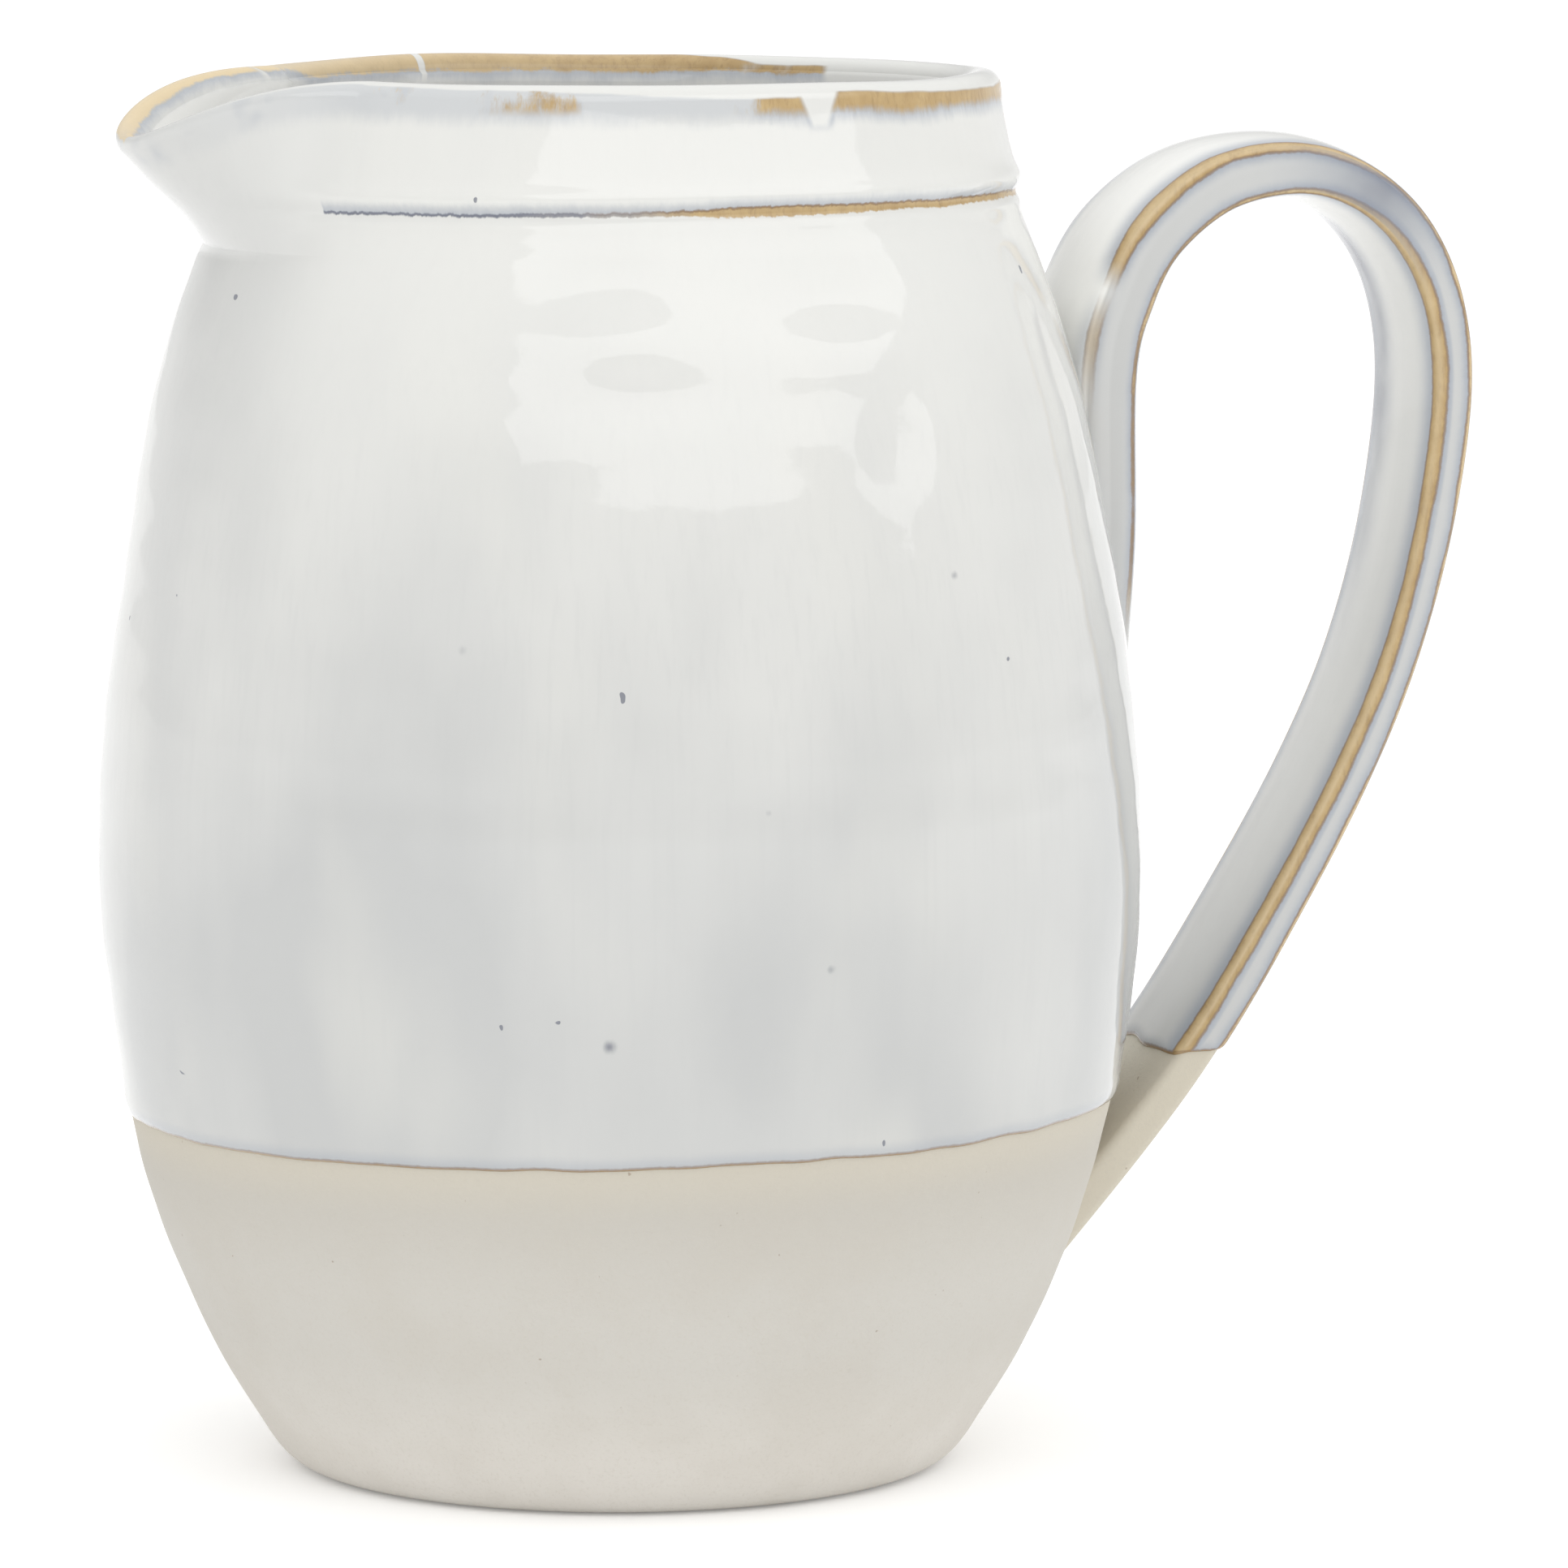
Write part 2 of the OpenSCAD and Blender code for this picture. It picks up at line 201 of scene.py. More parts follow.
# ---------------------------------------------------------------- uneven by hand
def hand(a, z):
    """How far the thrown wall wanders outwards, in mm: soft dents, finger ripples, throwing rings."""
    keep = rise(z, 4, 30) * (1 - 0.75 * rise(z, COLLAR_Z - 8, COLLAR_Z + 6))
    soft = 0.13 * ripples(11, 9, (2, 6), (70, 170), a, z)
    small = 0.05 * ripples(12, 14, (5, 15), (22, 55), a, z)
    rings = 0.035 * np.cos(2 * math.pi * z / 9.5 + 0.6 * ripples(13, 4, (1, 4), (60, 200), a, z))
    return keep * (soft + small + rings)


# Soft finger dents and swells: (angle, height mm, half angle, half height mm, mm outwards)
DENTS = [(73, 150.5, 8, 3.6, -0.75), (74, 143.5, 8, 3.6, 0.85), (75, 137, 9, 2.6, -0.45),
         (102, 149, 11, 4.2, -0.85), (100, 141.2, 11, 4.2, 0.8), (60, 131, 9, 7, 0.95),
         (66, 120, 12, 7, 0.12), (99, 131, 4, 7, 0.4), (108.5, 131, 5, 7, -0.6),
         (20, 120, 16, 22, 0.2), (-12, 112, 12, 14, -0.22), (140, 96, 14, 20, -0.2),
         (36, 62, 18, 14, 0.14), (163, 62, 22, 14, 0.75), (163, 88, 22, 18, 0.4)]
# Cloudy patches in the glaze, pale below 0 and grey above: the same columns, the last a strength
CLOUDS = [(91, 104, 9, 18, -0.65), (39, 66, 10, 17, 0.4), (121, 56, 14, 14, -0.4)]


def turn_of(a):
    """The same angle (degrees) between -180 and 180."""
    return (a + 180) % 360 - 180


def patches(table, a, z):
    """Sum of soft round patches at angle a and height z."""
    total = 0
    for angle, height, half_angle, half_height, amount in table:
        turn = turn_of(a - angle)
        total = total + amount * np.exp(-(turn / half_angle) ** 2 - ((z - height) / half_height) ** 2)
    return total


def dents(a, z):
    return patches(DENTS, a, z)


def glaze_line(a):
    """Height of the dipping line round the pot."""
    wave = 0.95 + 0.95 * np.sin(np.radians(a - 62)) + 0.12 * ripples(21, 8, (4, 20), LEVEL, a, 0.0)
    wave = wave + 0.07 * ripples(22, 12, (18, 60), LEVEL, a, 0.0)
    return GLAZE_LINE + wave


# ---------------------------------------------------------------- sections round the pot
SPOUT_SECTOR = 36
COLUMNS = np.concatenate([np.linspace(-SPOUT_SECTOR, SPOUT_SECTOR, 110, endpoint=False),
                          np.linspace(SPOUT_SECTOR, 360 - SPOUT_SECTOR, 290, endpoint=False)])


def rows_of(*parts):
    """Stacks the parts of a section, each (radius, height), into points by row and column."""
    r = np.concatenate([p[0] for p in parts])
    z = np.concatenate([p[1] for p in parts])
    a = np.radians(COLUMNS)
    return np.stack([-r * np.cos(a), -r * np.sin(a), z], axis=2)


def around(stations, a):
    """A value round the pot, straight between stations (angle, value)."""
    return np.interp(a, [s[0] for s in stations], [s[1] for s in stations], period=360)


# Where the glaze breaks to tan round the rim and the groove: (angle from the spout, strength)
RIM_OUTSIDE = [(-36, 0.2), (0, 0.1), (20, 0.2), (36, 0.3), (45, 0.25), (60, 0.45), (66, 0.5), (71, 0.1),
               (84, 0.3), (92, 0.35), (94.5, 0.65), (98, 0.8), (107, 0.95), (150, 1), (160, 0.5), (200, 0.3),
               (250, 0.6), (300, 0.7)]
RIM_TOP = [(-30, 1), (-4, 1), (6, 0), (148, 0), (238, 0), (246, 0.8), (287, 1), (288.2, 0), (289.4, 1),
           (327, 1), (330, 0.3), (333, 1)]
RIM_INSIDE = [(-30, 0.9), (-4, 0.9), (10, 0.2), (90, 0.3), (170, 0.2), (212, 0.2), (217, 0.75), (227, 0.75),
              (231, 0.55), (236, 0.8), (242, 1), (287, 1), (288.2, 0), (289.4, 1), (327, 1), (330, 0.4),
              (333, 1)]
GROOVE_ON = [(20, 0), (28, 0), (29.5, 1), (150, 1), (154, 0.6), (176, 0.2), (184, 0.2), (215, 1), (330, 0.8),
             (338, 0)]
GROOVE_TAN = [(0, 0), (50, 0), (62, 0.12), (75, 0.15), (84, 0.3), (89, 0.8), (97, 1), (106, 0.65),
              (125, 0.6), (145, 0.45), (200, 0.5), (240, 0.9), (300, 0.4), (330, 0)]
# How far from the crest the bare band starts outside and inside, and how far it reaches inside, in mm
RIM_START = [(0, 1), (60, 1.7), (90, 2.9), (100, 2.9), (107, 2.2), (125, 2.6), (148, 2.9), (200, 1)]
RIM_IN_START = [(-36, 0), (10, 0), (150, 1.5), (190, 2.1), (228, 2.1), (244, 0), (330, 0)]
RIM_REACH = [(-36, 1.7), (10, 1.2), (150, 2.2), (185, 3), (215, 3.3), (318, 3.1), (330, 1.9)]
# Where the bare band is pale: on the pouring lip
RIM_PALE = [(-36, 0.8), (30, 0.8), (50, 0.1), (240, 0), (280, 0.3), (320, 0.7)]
BANDS = {"rim_outside": RIM_OUTSIDE, "rim_top": RIM_TOP, "rim_inside": RIM_INSIDE,
         "rim_start": RIM_START, "rim_in_start": RIM_IN_START, "rim_reach": RIM_REACH,
         "pale": RIM_PALE, "groove_on": GROOVE_ON, "groove_tan": GROOVE_TAN}
# One thick drip of glaze over the band: angle, half its width at the crest, taper and length, in mm
DRIP_ANGLE = 103.5
DRIP_HALF = 3.9
DRIP_LONG = 9.0
DRIP_END = 6.6


def coat_masks(points, crest_row):
    """What the glaze's material needs to know at each point of a coat: heights in mm over the
    dipping line and the groove, distance from the crest of the lip, and strengths by angle."""
    run = np.linalg.norm(np.diff(points, axis=0), axis=2)
    length = np.vstack([np.zeros((1, points.shape[1])), np.cumsum(run, axis=0)])
    a = np.broadcast_to(COLUMNS, length.shape)
    z = points[..., 2]
    crest_mm = np.abs(length - length[crest_row])
    arc = np.abs(np.radians(a - DRIP_ANGLE)) * RIM_R
    drip_mm = np.minimum(DRIP_HALF * (1 - crest_mm / DRIP_LONG) - arc, DRIP_END - crest_mm)
    masks = {"crest_mm": crest_mm, "edge_mm": z - glaze_line(a), "drip_mm": np.maximum(drip_mm, -9),
             "groove_mm": z - groove_z(a), "spout": spout_share(turn_of(a)), "cloud": patches(CLOUDS, a, z)}
    masks.update({key: around(stations, a) for key, stations in BANDS.items()})
    return masks


def grid(a_rows):
    """Angle and row value as two grids of the same shape."""
    return np.broadcast_to(COLUMNS, (len(a_rows), len(COLUMNS))), np.broadcast_to(
        np.asarray(a_rows, float)[:, None], (len(a_rows), len(COLUMNS)))


def wall_part(z, depth=0.0):
    """Round wall at heights z, at a depth below the glazed surface."""
    a, z = grid(z) if np.ndim(z) == 1 else (np.broadcast_to(COLUMNS, z.shape), z)
    return wall_r(z) + GLAZE_T - depth + hand(a, z) + dents(a, z), z


def collar_part(w, depth=0.0):
    a, w = grid(w)
    r, z = collar_base(a, w)
    return r + ridge(a, z) - depth + hand(a, z) + dents(a, z), z


def collar_inside(w, depth=0.0):
    a, w = grid(w)
    r, z = collar_base(a, w)
    return r + ridge(a, z) * (1 - w) - collar_t(a, w) + depth + hand(a, z) + dents(a, z), z


# The rim stands a little higher at the back: height in mm, middle angle and half angle
BACK_RISE = 0.5
BACK_RISE_ANGLE = 280
BACK_RISE_HALF = 24


def lip_part(turn, depth=0.0):
    """The lip's rounded top, at turns in degrees from the outside (0) over the crest to 180."""
    a, turn = grid(turn)
    r = collar_base(a, 1)[0] + ridge(a, LIP_Z - lip_dip(a)) + hand(a, LIP_Z) + dents(a, LIP_Z)
    half = collar_t(a, 1) / 2
    tilt = SPOUT_TILT * spout_share(a) * side_stretch(a)
    turn = np.radians(turn)
    crest = 0.16 * ripples(31, 9, (1, 9), LEVEL, a, 0.0)
    crest = crest + BACK_RISE * np.exp(-((a - BACK_RISE_ANGLE) / BACK_RISE_HALF) ** 2)
    return (r - half + (half - depth) * np.cos(turn) + tilt * np.sin(turn),
            LIP_Z - lip_dip(a) + (LIP_RISE - depth + crest * (1 - spout_share(a))) * np.sin(turn))


# The inside turns from its flat floor into the wall between this radius and this height
CORNER_Z = 24.0
FLOOR_FLAT_R = 30.0


def inside_r(z):
    """Radius of the clay's inside at height z, up to the collar."""
    return wall_r(z) - WALL_T


def floor_turn(steps, coat):
    """The rounded corner between floor and wall, from the floor up."""
    slope = (wall_r(CORNER_Z + 1) - wall_r(CORNER_Z - 1)) / 2
    top_r = float(inside_r(CORNER_Z)) - coat
    ends = np.array([[FLOOR_FLAT_R, FLOOR_Z + coat], [FLOOR_FLAT_R + 8, FLOOR_Z + coat],
                     [top_r - 7 * slope, CORNER_Z - 7], [top_r, CORNER_Z]])
    t = np.linspace(0, 1, steps)[:, None]
    p = ((1 - t) ** 3 * ends[0] + 3 * t * (1 - t) ** 2 * ends[1]
         + 3 * t * t * (1 - t) * ends[2] + t ** 3 * ends[3])
    return p[:, 0], p[:, 1]


def round_part(r, z):
    """Rings of plain radius r at height z."""
    n = len(COLUMNS)
    return np.repeat(np.asarray(r, float)[:, None], n, 1), np.repeat(np.asarray(z, float)[:, None], n, 1)


def inside_part(z, coat):
    a, z = grid(z)
    return inside_r(z) - coat + (hand(a, z) + dents(a, z)) * rise(z, CORNER_Z, CORNER_Z + 20), z


# ---------------------------------------------------------------- meshes
def build(name, points, wrap_rows, poles=(None, None), sharp=(), masks=None):
    """A closed smooth mesh in metres from points[row, column] in mm. Columns always wrap round;
    rows wrap, or end at a pole point. Edges along the sharp rows stay sharp."""
    rows, columns = points.shape[:2]
    index = np.arange(rows * columns).reshape(rows, columns)
    below = index if wrap_rows else index[:-1]
    above = np.roll(index, -1, 0) if wrap_rows else index[1:]
    faces = np.stack([below, np.roll(below, -1, 1), np.roll(above, -1, 1), above], 2).reshape(-1, 4)
    faces = faces.tolist()
    verts = points.reshape(-1, 3)
    values = {key: np.broadcast_to(mask, (rows, columns)).reshape(-1) for key, mask in (masks or {}).items()}
    for pole, row, flip in ((poles[0], 0, False), (poles[1], rows - 1, True)):
        if pole is None:
            continue
        centre = len(verts)
        verts = np.vstack([verts, pole])
        for i in range(columns):
            pair = [int(index[row, i]), int(index[row, (i + 1) % columns])]
            faces.append([centre] + (pair if flip else pair[::-1]))
        values = {key: np.append(v, v.reshape(-1)[index[row]].mean()) for key, v in values.items()}
    mesh = bpy.data.meshes.new(name)
    mesh.from_pydata((verts * MM).tolist(), [], faces)
    mesh.shade_smooth()
    if sharp:
        ends = np.zeros(len(mesh.edges) * 2, np.int64)
        mesh.edges.foreach_get("vertices", ends)
        row_of = ends.reshape(-1, 2) // columns
        flags = np.isin(row_of[:, 0], sharp) & (row_of[:, 0] == row_of[:, 1])
        mesh.attributes.new("sharp_edge", "BOOLEAN", "EDGE").data.foreach_set("value", flags)
    for key, value in values.items():
        mesh.attributes.new(key, "FLOAT", "POINT").data.foreach_set("value", value.astype(np.float32))
    mesh.validate()
    piece = bpy.data.objects.new(name, mesh)
    bpy.context.scene.collection.objects.link(piece)
    return piece


# ---------------------------------------------------------------- the outer glaze coat
EDGE_ROLL = 1.1
EDGE_UP = np.array([0, 0.04, 0.12, 0.24, 0.4, 0.6, 0.85, 1.15, 1.6, 2.2, 3, 4])
CREST = 90
NEAR_CREST = 89.6
# The back of a coat lies this far inside the clay, in mm
TUCK = 0.03


def glaze_edge_part():
    """The glaze's lower edge: it rolls out from the clay to a slightly thicker bead."""
    a, up = grid(EDGE_UP)
    z = glaze_line(a) + up
    swell = 1 + 0.22 * np.exp(-((up - 1.9) / 1.1) ** 2)
    roll = np.sqrt(1 - (1 - np.clip(up / EDGE_ROLL, 0, 1)) ** 2) * swell
    r, _ = wall_part(z, GLAZE_T * (1 - roll))
    return r, z


def up_the_wall(start, count):
    """Heights from the glaze's edge (plus start) to just below the collar, as rows."""
    a, share = grid(np.linspace(0, 1, count, endpoint=False)[1:])
    low = glaze_line(a) + start
    return low + (COLLAR_Z - low) * share


def outer_glaze():
    inset = GLAZE_T + TUCK
    lip = np.append(np.linspace(0, 80, 9)[1:], [85, NEAR_CREST, CREST])
    parts = [glaze_edge_part(), wall_part(up_the_wall(EDGE_UP[-1], 76)), collar_part(np.linspace(0, 1, 62)),
             lip_part(lip), lip_part([CREST, 45], inset), collar_part(np.linspace(1, 0, 12), inset),
             wall_part(up_the_wall(EDGE_UP[-1], 20)[::-1], inset)]
    crest = sum(len(p[0]) for p in parts[:4]) - 1
    points = rows_of(*parts)
    return build("outer_glaze_coat", points, True, sharp=(crest,), masks=coat_masks(points, crest))


def liner_glaze():
    inset = GLAZE_T + TUCK
    lip = np.concatenate([[CREST, 180 - NEAR_CREST, 95], np.linspace(100, 180, 9)])
    floor_r, floor_z = floor_turn(10, GLAZE_T)
    back_r, back_z = floor_turn(6, -TUCK)
    centre = np.array([3, 10, 20, 26])
    parts = [round_part(centre, np.full(4, FLOOR_Z - TUCK)), round_part(back_r, back_z),
             inside_part(np.linspace(CORNER_Z, COLLAR_Z, 14)[1:-1], -TUCK),
             collar_inside(np.linspace(0, 1, 8), -TUCK - GLAZE_T), lip_part([135], inset), lip_part(lip),
             collar_inside(np.linspace(1, 0, 30)[1:]),
             inside_part(np.linspace(COLLAR_Z, CORNER_Z, 60)[1:-1], GLAZE_T),
             round_part(floor_r[::-1], floor_z[::-1]),
             round_part(centre[::-1], np.full(4, FLOOR_Z + GLAZE_T))]
    crest = sum(len(p[0]) for p in parts[:5])
    poles = ((0, 0, FLOOR_Z - TUCK), (0, 0, FLOOR_Z + GLAZE_T))
    points = rows_of(*parts)
    return build("liner_glaze_coat", points, False, poles, sharp=(crest,), masks=coat_masks(points, crest))


def clay_body():
    heel_z = WALL_MM[0][0]
    heel_r = float(wall_r(heel_z))
    t = np.linspace(0, 1, 14)
    ends = [(FOOT_R, 0), (FOOT_R + 3.5, 0), (heel_r - 1.7, heel_z - 2.6), (heel_r, heel_z)]
    arc = [(1 - t) ** 3 * ends[0][i] + 3 * t * (1 - t) ** 2 * ends[1][i] + 3 * t * t * (1 - t) * ends[2][i]
           + t ** 3 * ends[3][i] for i in (0, 1)]
    foot_r = [8, 20, FOOT_HOLLOW_R - 3, FOOT_HOLLOW_R - 2, FOOT_HOLLOW_R - 1, FOOT_HOLLOW_R - 0.3,
              FOOT_HOLLOW_R + 0.4]
    foot_z = [FOOT_HOLLOW, FOOT_HOLLOW, FOOT_HOLLOW, FOOT_HOLLOW - 0.12, 0.55, 0.12, 0]
    floor_r, floor_z = floor_turn(8, 0)
    bare = np.linspace(heel_z, GLAZE_LINE + 5, 56)[1:]
    centre = np.array([6, 18, 27])
    parts = [round_part(foot_r, foot_z), round_part(*arc), wall_part(bare, GLAZE_T),
             wall_part(np.linspace(bare[-1], COLLAR_Z, 26)[1:-1], GLAZE_T),
             collar_part(np.linspace(0, 1, 16), GLAZE_T), lip_part([30, 60, 90, 120, 150], GLAZE_T),
             collar_inside(np.linspace(1, 0, 10), GLAZE_T),
             inside_part(np.linspace(COLLAR_Z, CORNER_Z, 24)[1:-1], 0),
             round_part(floor_r[::-1], floor_z[::-1]), round_part(centre[::-1], np.full(3, FLOOR_Z))]
    points = rows_of(*parts)
    edge = {"edge_mm": glaze_line(np.broadcast_to(COLUMNS, points.shape[:2])) - points[..., 2]}
    return build("clay_body", points, False, ((0, 0, FOOT_HOLLOW), (0, 0, FLOOR_Z)), masks=edge)


# ---------------------------------------------------------------- the strap
STRAP_MM = np.array([(BELLY_R + out, z * PITCHER_H) for out, z in STRAP])
FACE_STEPS = 18
CORNER_STEPS = 7
SIDE_STEPS = 6
CROWN = 1.0
# The strap swells and spreads over these shares of its length at each end, as in the CAD
UPPER_SWELL_SHARE = 0.65
LOWER_SWELL_SHARE = 0.28
UPPER_SPREAD_SHARE = 0.3
LOWER_SPREAD_SHARE = 0.25


def strap_at(t):
    """Point of the strap's middle line at share t of its stations."""
    last = len(STRAP_MM) - 1
    x = np.clip(t, 0, 1) * last
    i = np.minimum(np.floor(x).astype(int), last - 1)
    u = (x - i)[..., None]
    a, b, c, d = (STRAP_MM[np.clip(i + k, 0, last)] for k in (-1, 0, 1, 2))
    return 0.5 * (2 * b + (c - a) * u + (2 * a - 5 * b + 4 * c - d) * u * u
                  + (3 * b - a - 3 * c + d) * u * u * u)


def strap_section(thick, wide, corner, crown):
    """One closed section of the strap, with crowned faces and round corners. Gives four arrays,
    shaped like thick with a last axis of points: place across the thickness, place across the
    width, distance from the nearest corner's middle, and 1 on the sides."""
    half_w = wide / 2 - corner
    half_t = thick / 2 - corner
    lean = 2 * crown / half_w
    tip = np.arctan(lean)
    ones = np.ones_like(thick)
    x, y, off, side = [], [], [], []

    def put(px, py, d, s):
        x.append(px * ones)
        y.append(py * ones)
        off.append(d * ones)
        side.append(s * ones)

    for sign in (1, -1):
        for k in range(FACE_STEPS):
            share = (2 * k / FACE_STEPS - 1) * sign
            turn = np.arctan(lean * share)
            put(sign * (half_t - crown * share ** 2 + corner * np.cos(turn)),
                half_w * share + corner * np.sin(turn),
                half_w * (1 - np.abs(share)) + corner * (math.pi / 2 - tip) / 2, 0)
        for k in range(CORNER_STEPS):
            share = k / CORNER_STEPS
            turn = tip + (math.pi / 2 - tip) * share
            put(sign * (half_t - crown + corner * np.cos(turn)), sign * (half_w + corner * np.sin(turn)),
                corner * (math.pi / 2 - tip) * abs(share - 0.5), 0.0 if share < 0.5 else 1.0)
        for k in range(SIDE_STEPS):
            share = 1 - 2 * k / SIDE_STEPS
            put(sign * (half_t - crown) * share, sign * (half_w + corner),
                (half_t - crown) * (1 - np.abs(share)) + corner * (math.pi / 2 - tip) / 2, 1)
        for k in range(CORNER_STEPS):
            share = k / CORNER_STEPS
            turn = math.pi / 2 + (math.pi / 2 - tip) * share
            put(sign * (-(half_t - crown) + corner * np.cos(turn)), sign * (half_w + corner * np.sin(turn)),
                corner * (math.pi / 2 - tip) * abs(share - 0.5), 1.0 if share < 0.5 else 0.0)
    return [np.stack(v, -1) for v in (x, y, off, side)]


def strap_surface(t, depth):
    """Points and masks of the strap at shares t[row, column] of its length, a column being one
    point of the section, at a depth below the glazed surface."""
    swell = UPPER_SWELL * fade(t / UPPER_SWELL_SHARE) + LOWER_SWELL * fade((1 - t) / LOWER_SWELL_SHARE)
    spread = (STRAP_SPREAD * fade(t / UPPER_SPREAD_SHARE)
              + STRAP_FOOT_SPREAD * fade((1 - t) / LOWER_SPREAD_SHARE))
    thick = STRAP_T + swell - 2 * depth
    wide = STRAP_W + spread - 2 * depth
    corner = 1.25 + 1.9 * fade(t / 0.3) + 0.35 * rise(t, 0.84, 0.9) - depth
    x, y, off, side = [np.diagonal(v, axis1=1, axis2=2) for v in strap_section(thick, wide, corner, CROWN)]
    near = 0.004
    along = strap_at(t + near) - strap_at(t - near)
    along = along / np.linalg.norm(along, axis=-1, keepdims=True)
    p = strap_at(t)
    wander = 0.1 * ripples(41, 8, (1, 3), (25, 70), 30 * y / STRAP_W, 200 * t)
    x = x + wander * np.sign(x) * rise(np.abs(x), 1, 2.5)
    points = np.stack([p[..., 0] + along[..., 1] * x, y, p[..., 1] - along[..., 0] * x], -1)
    inner = x > 0
    outer_mm = 0.35 + 0.4 * fade((t - 0.36) / 0.12) + 0.5 * fade(np.abs(t - 0.24) / 0.1)
    break_mm = np.where(inner, 0.32 + 0.75 * rise(t, 0.33, 0.5), outer_mm)
    far = inner * rise(y, -0.05 * STRAP_W, 0.25 * STRAP_W)
    # pooled blue glaze at the crown's far inner edge, deepened by a painted dark reflection; smoke is a
    # blue-grey tint on the side
    pool_and_dark_reflection = far * np.clip(0.8 * fade(np.abs(t - 0.46) / 0.06) + 0.75 * fade(np.abs(t - 0.55) / 0.2), 0, 1)
    smoke = 0.6 * side * fade(np.abs(t - 0.42) / 0.11)
    smear = 0.6 * fade(np.abs(t - 0.135) / 0.04)
    share = np.where(inner, rise(t, 0.02, 0.06), np.maximum(rise(t, 0.17, 0.2), smear))
    # Painted light: the root mask whitens the outer face towards the upper end, and the mask for the inner
    # face towards the pot lightens it, both against their shade
    return points, {"corner_mm": off, "on_side": side, "break_mm": break_mm, "break_share": share,
                    "pool_and_dark_reflection": np.maximum(pool_and_dark_reflection, smoke), "root": fade(t / 0.45) * (x < 0),
                    "painted_light_facing_pot": inner * rise(t, 0.3, 0.9) * rise(y, -0.4 * STRAP_W, 0.1 * STRAP_W)}


def keep_out_of_pot(points, sink):
    """Presses points that lie deep inside the wall back out, to a depth sink below the clay."""
    z = np.clip(points[..., 2], WALL_MM[0][0], COLLAR_Z)
    r = np.hypot(points[..., 0], points[..., 1])
    least = wall_r(z) - sink
    push = np.maximum(least / np.maximum(r, 1), 1)
    return np.stack([points[..., 0] * push, points[..., 1] * push, points[..., 2]], -1)


SECTION = 2 * (FACE_STEPS + 2 * CORNER_STEPS + SIDE_STEPS)
STRAP_ROWS = 190


def strap_glaze_end():
    """Share t at which each line along the strap meets the strap's own dipping line."""
    t = np.repeat(np.linspace(0.6, 1, 400)[:, None], SECTION, 1)
    points, _ = strap_surface(t, np.zeros_like(t))
    y = points[0, :, 1]
    line = HANDLE_GLAZE_LINE + 0.35 + 0.3 * np.sin(y / 3.1 + 0.7) + 0.15 * np.sin(y / 1.3)
    z = points[..., 2]
    first = np.argmax(z < line, axis=0)
    columns = np.arange(SECTION)
    z1, z0 = z[first, columns], z[first - 1, columns]
    share = (line - z0) / (z1 - z0)
    return t[first - 1, 0] + share * (t[1, 0] - t[0, 0])


def handle_glaze():
    """The strap's coat. Its rows start level and bend to follow the dipping line at the end."""
    end = strap_glaze_end()
    step = 1.0 / strap_length()
    rolled = np.array([EDGE_ROLL, 0.85, 0.62, 0.42, 0.25, 0.12, 0.04, 0.0])
    settle = np.linspace(0, 1, STRAP_ROWS)
    last = end - (EDGE_ROLL + 0.1) * step
    early = settle[:, None] * last[None, :] * np.ones((1, SECTION))
    straight = settle[:, None] * last.mean()
    bend = rise(settle, 0.75, 1)[:, None]
    front_t = np.vstack([straight * (1 - bend) + early * bend, end[None, :] - rolled[:, None] * step])
    up = np.concatenate([np.full(STRAP_ROWS, EDGE_ROLL), rolled])
    roll = np.sqrt(1 - (1 - np.clip(up / EDGE_ROLL, 0, 1)) ** 2)
    front, masks = strap_surface(front_t, GLAZE_T * (1 - roll)[:, None] * np.ones((1, SECTION)))
    back_t = front_t[::-5]
    back, back_masks = strap_surface(back_t, np.full(back_t.shape, GLAZE_T + TUCK))
    length = (end[None, :] - front_t) / step
    masks["edge_mm"] = length
    back_masks["edge_mm"] = length[::-5]
    points = np.vstack([keep_out_of_pot(front, 1.6), keep_out_of_pot(back, 1.2)])
    both = {key: np.vstack([masks[key], back_masks[key]]) for key in masks}
    return build("strap_glaze_coat", points, True, masks=both)


def strap_length():
    """Length of the strap's middle line, in mm."""
    p = strap_at(np.linspace(0, 1, 401))
    return float(np.linalg.norm(np.diff(p, axis=0), axis=1).sum())


def clay_strap():
    t = np.repeat(np.linspace(0, 1, 150)[:, None], SECTION, 1)
    points, masks = strap_surface(t, np.full(t.shape, GLAZE_T))
    points = keep_out_of_pot(points, 1.1)
    poles = tuple(points[row].mean(0) for row in (0, -1))
    return build("clay_strap", points, False, poles, masks=masks)


# The pads of slip reach over these heights, and a little past the strap's sides
UPPER_SEAM_Z = (0.55 * PITCHER_H, 0.8 * PITCHER_H)
LOWER_SEAM_Z = (0.107 * PITCHER_H, 0.238 * PITCHER_H)
UPPER_SEAM_W = STRAP_W + STRAP_SPREAD + 3.2
LOWER_SEAM_W = STRAP_W + STRAP_FOOT_SPREAD + 2.6


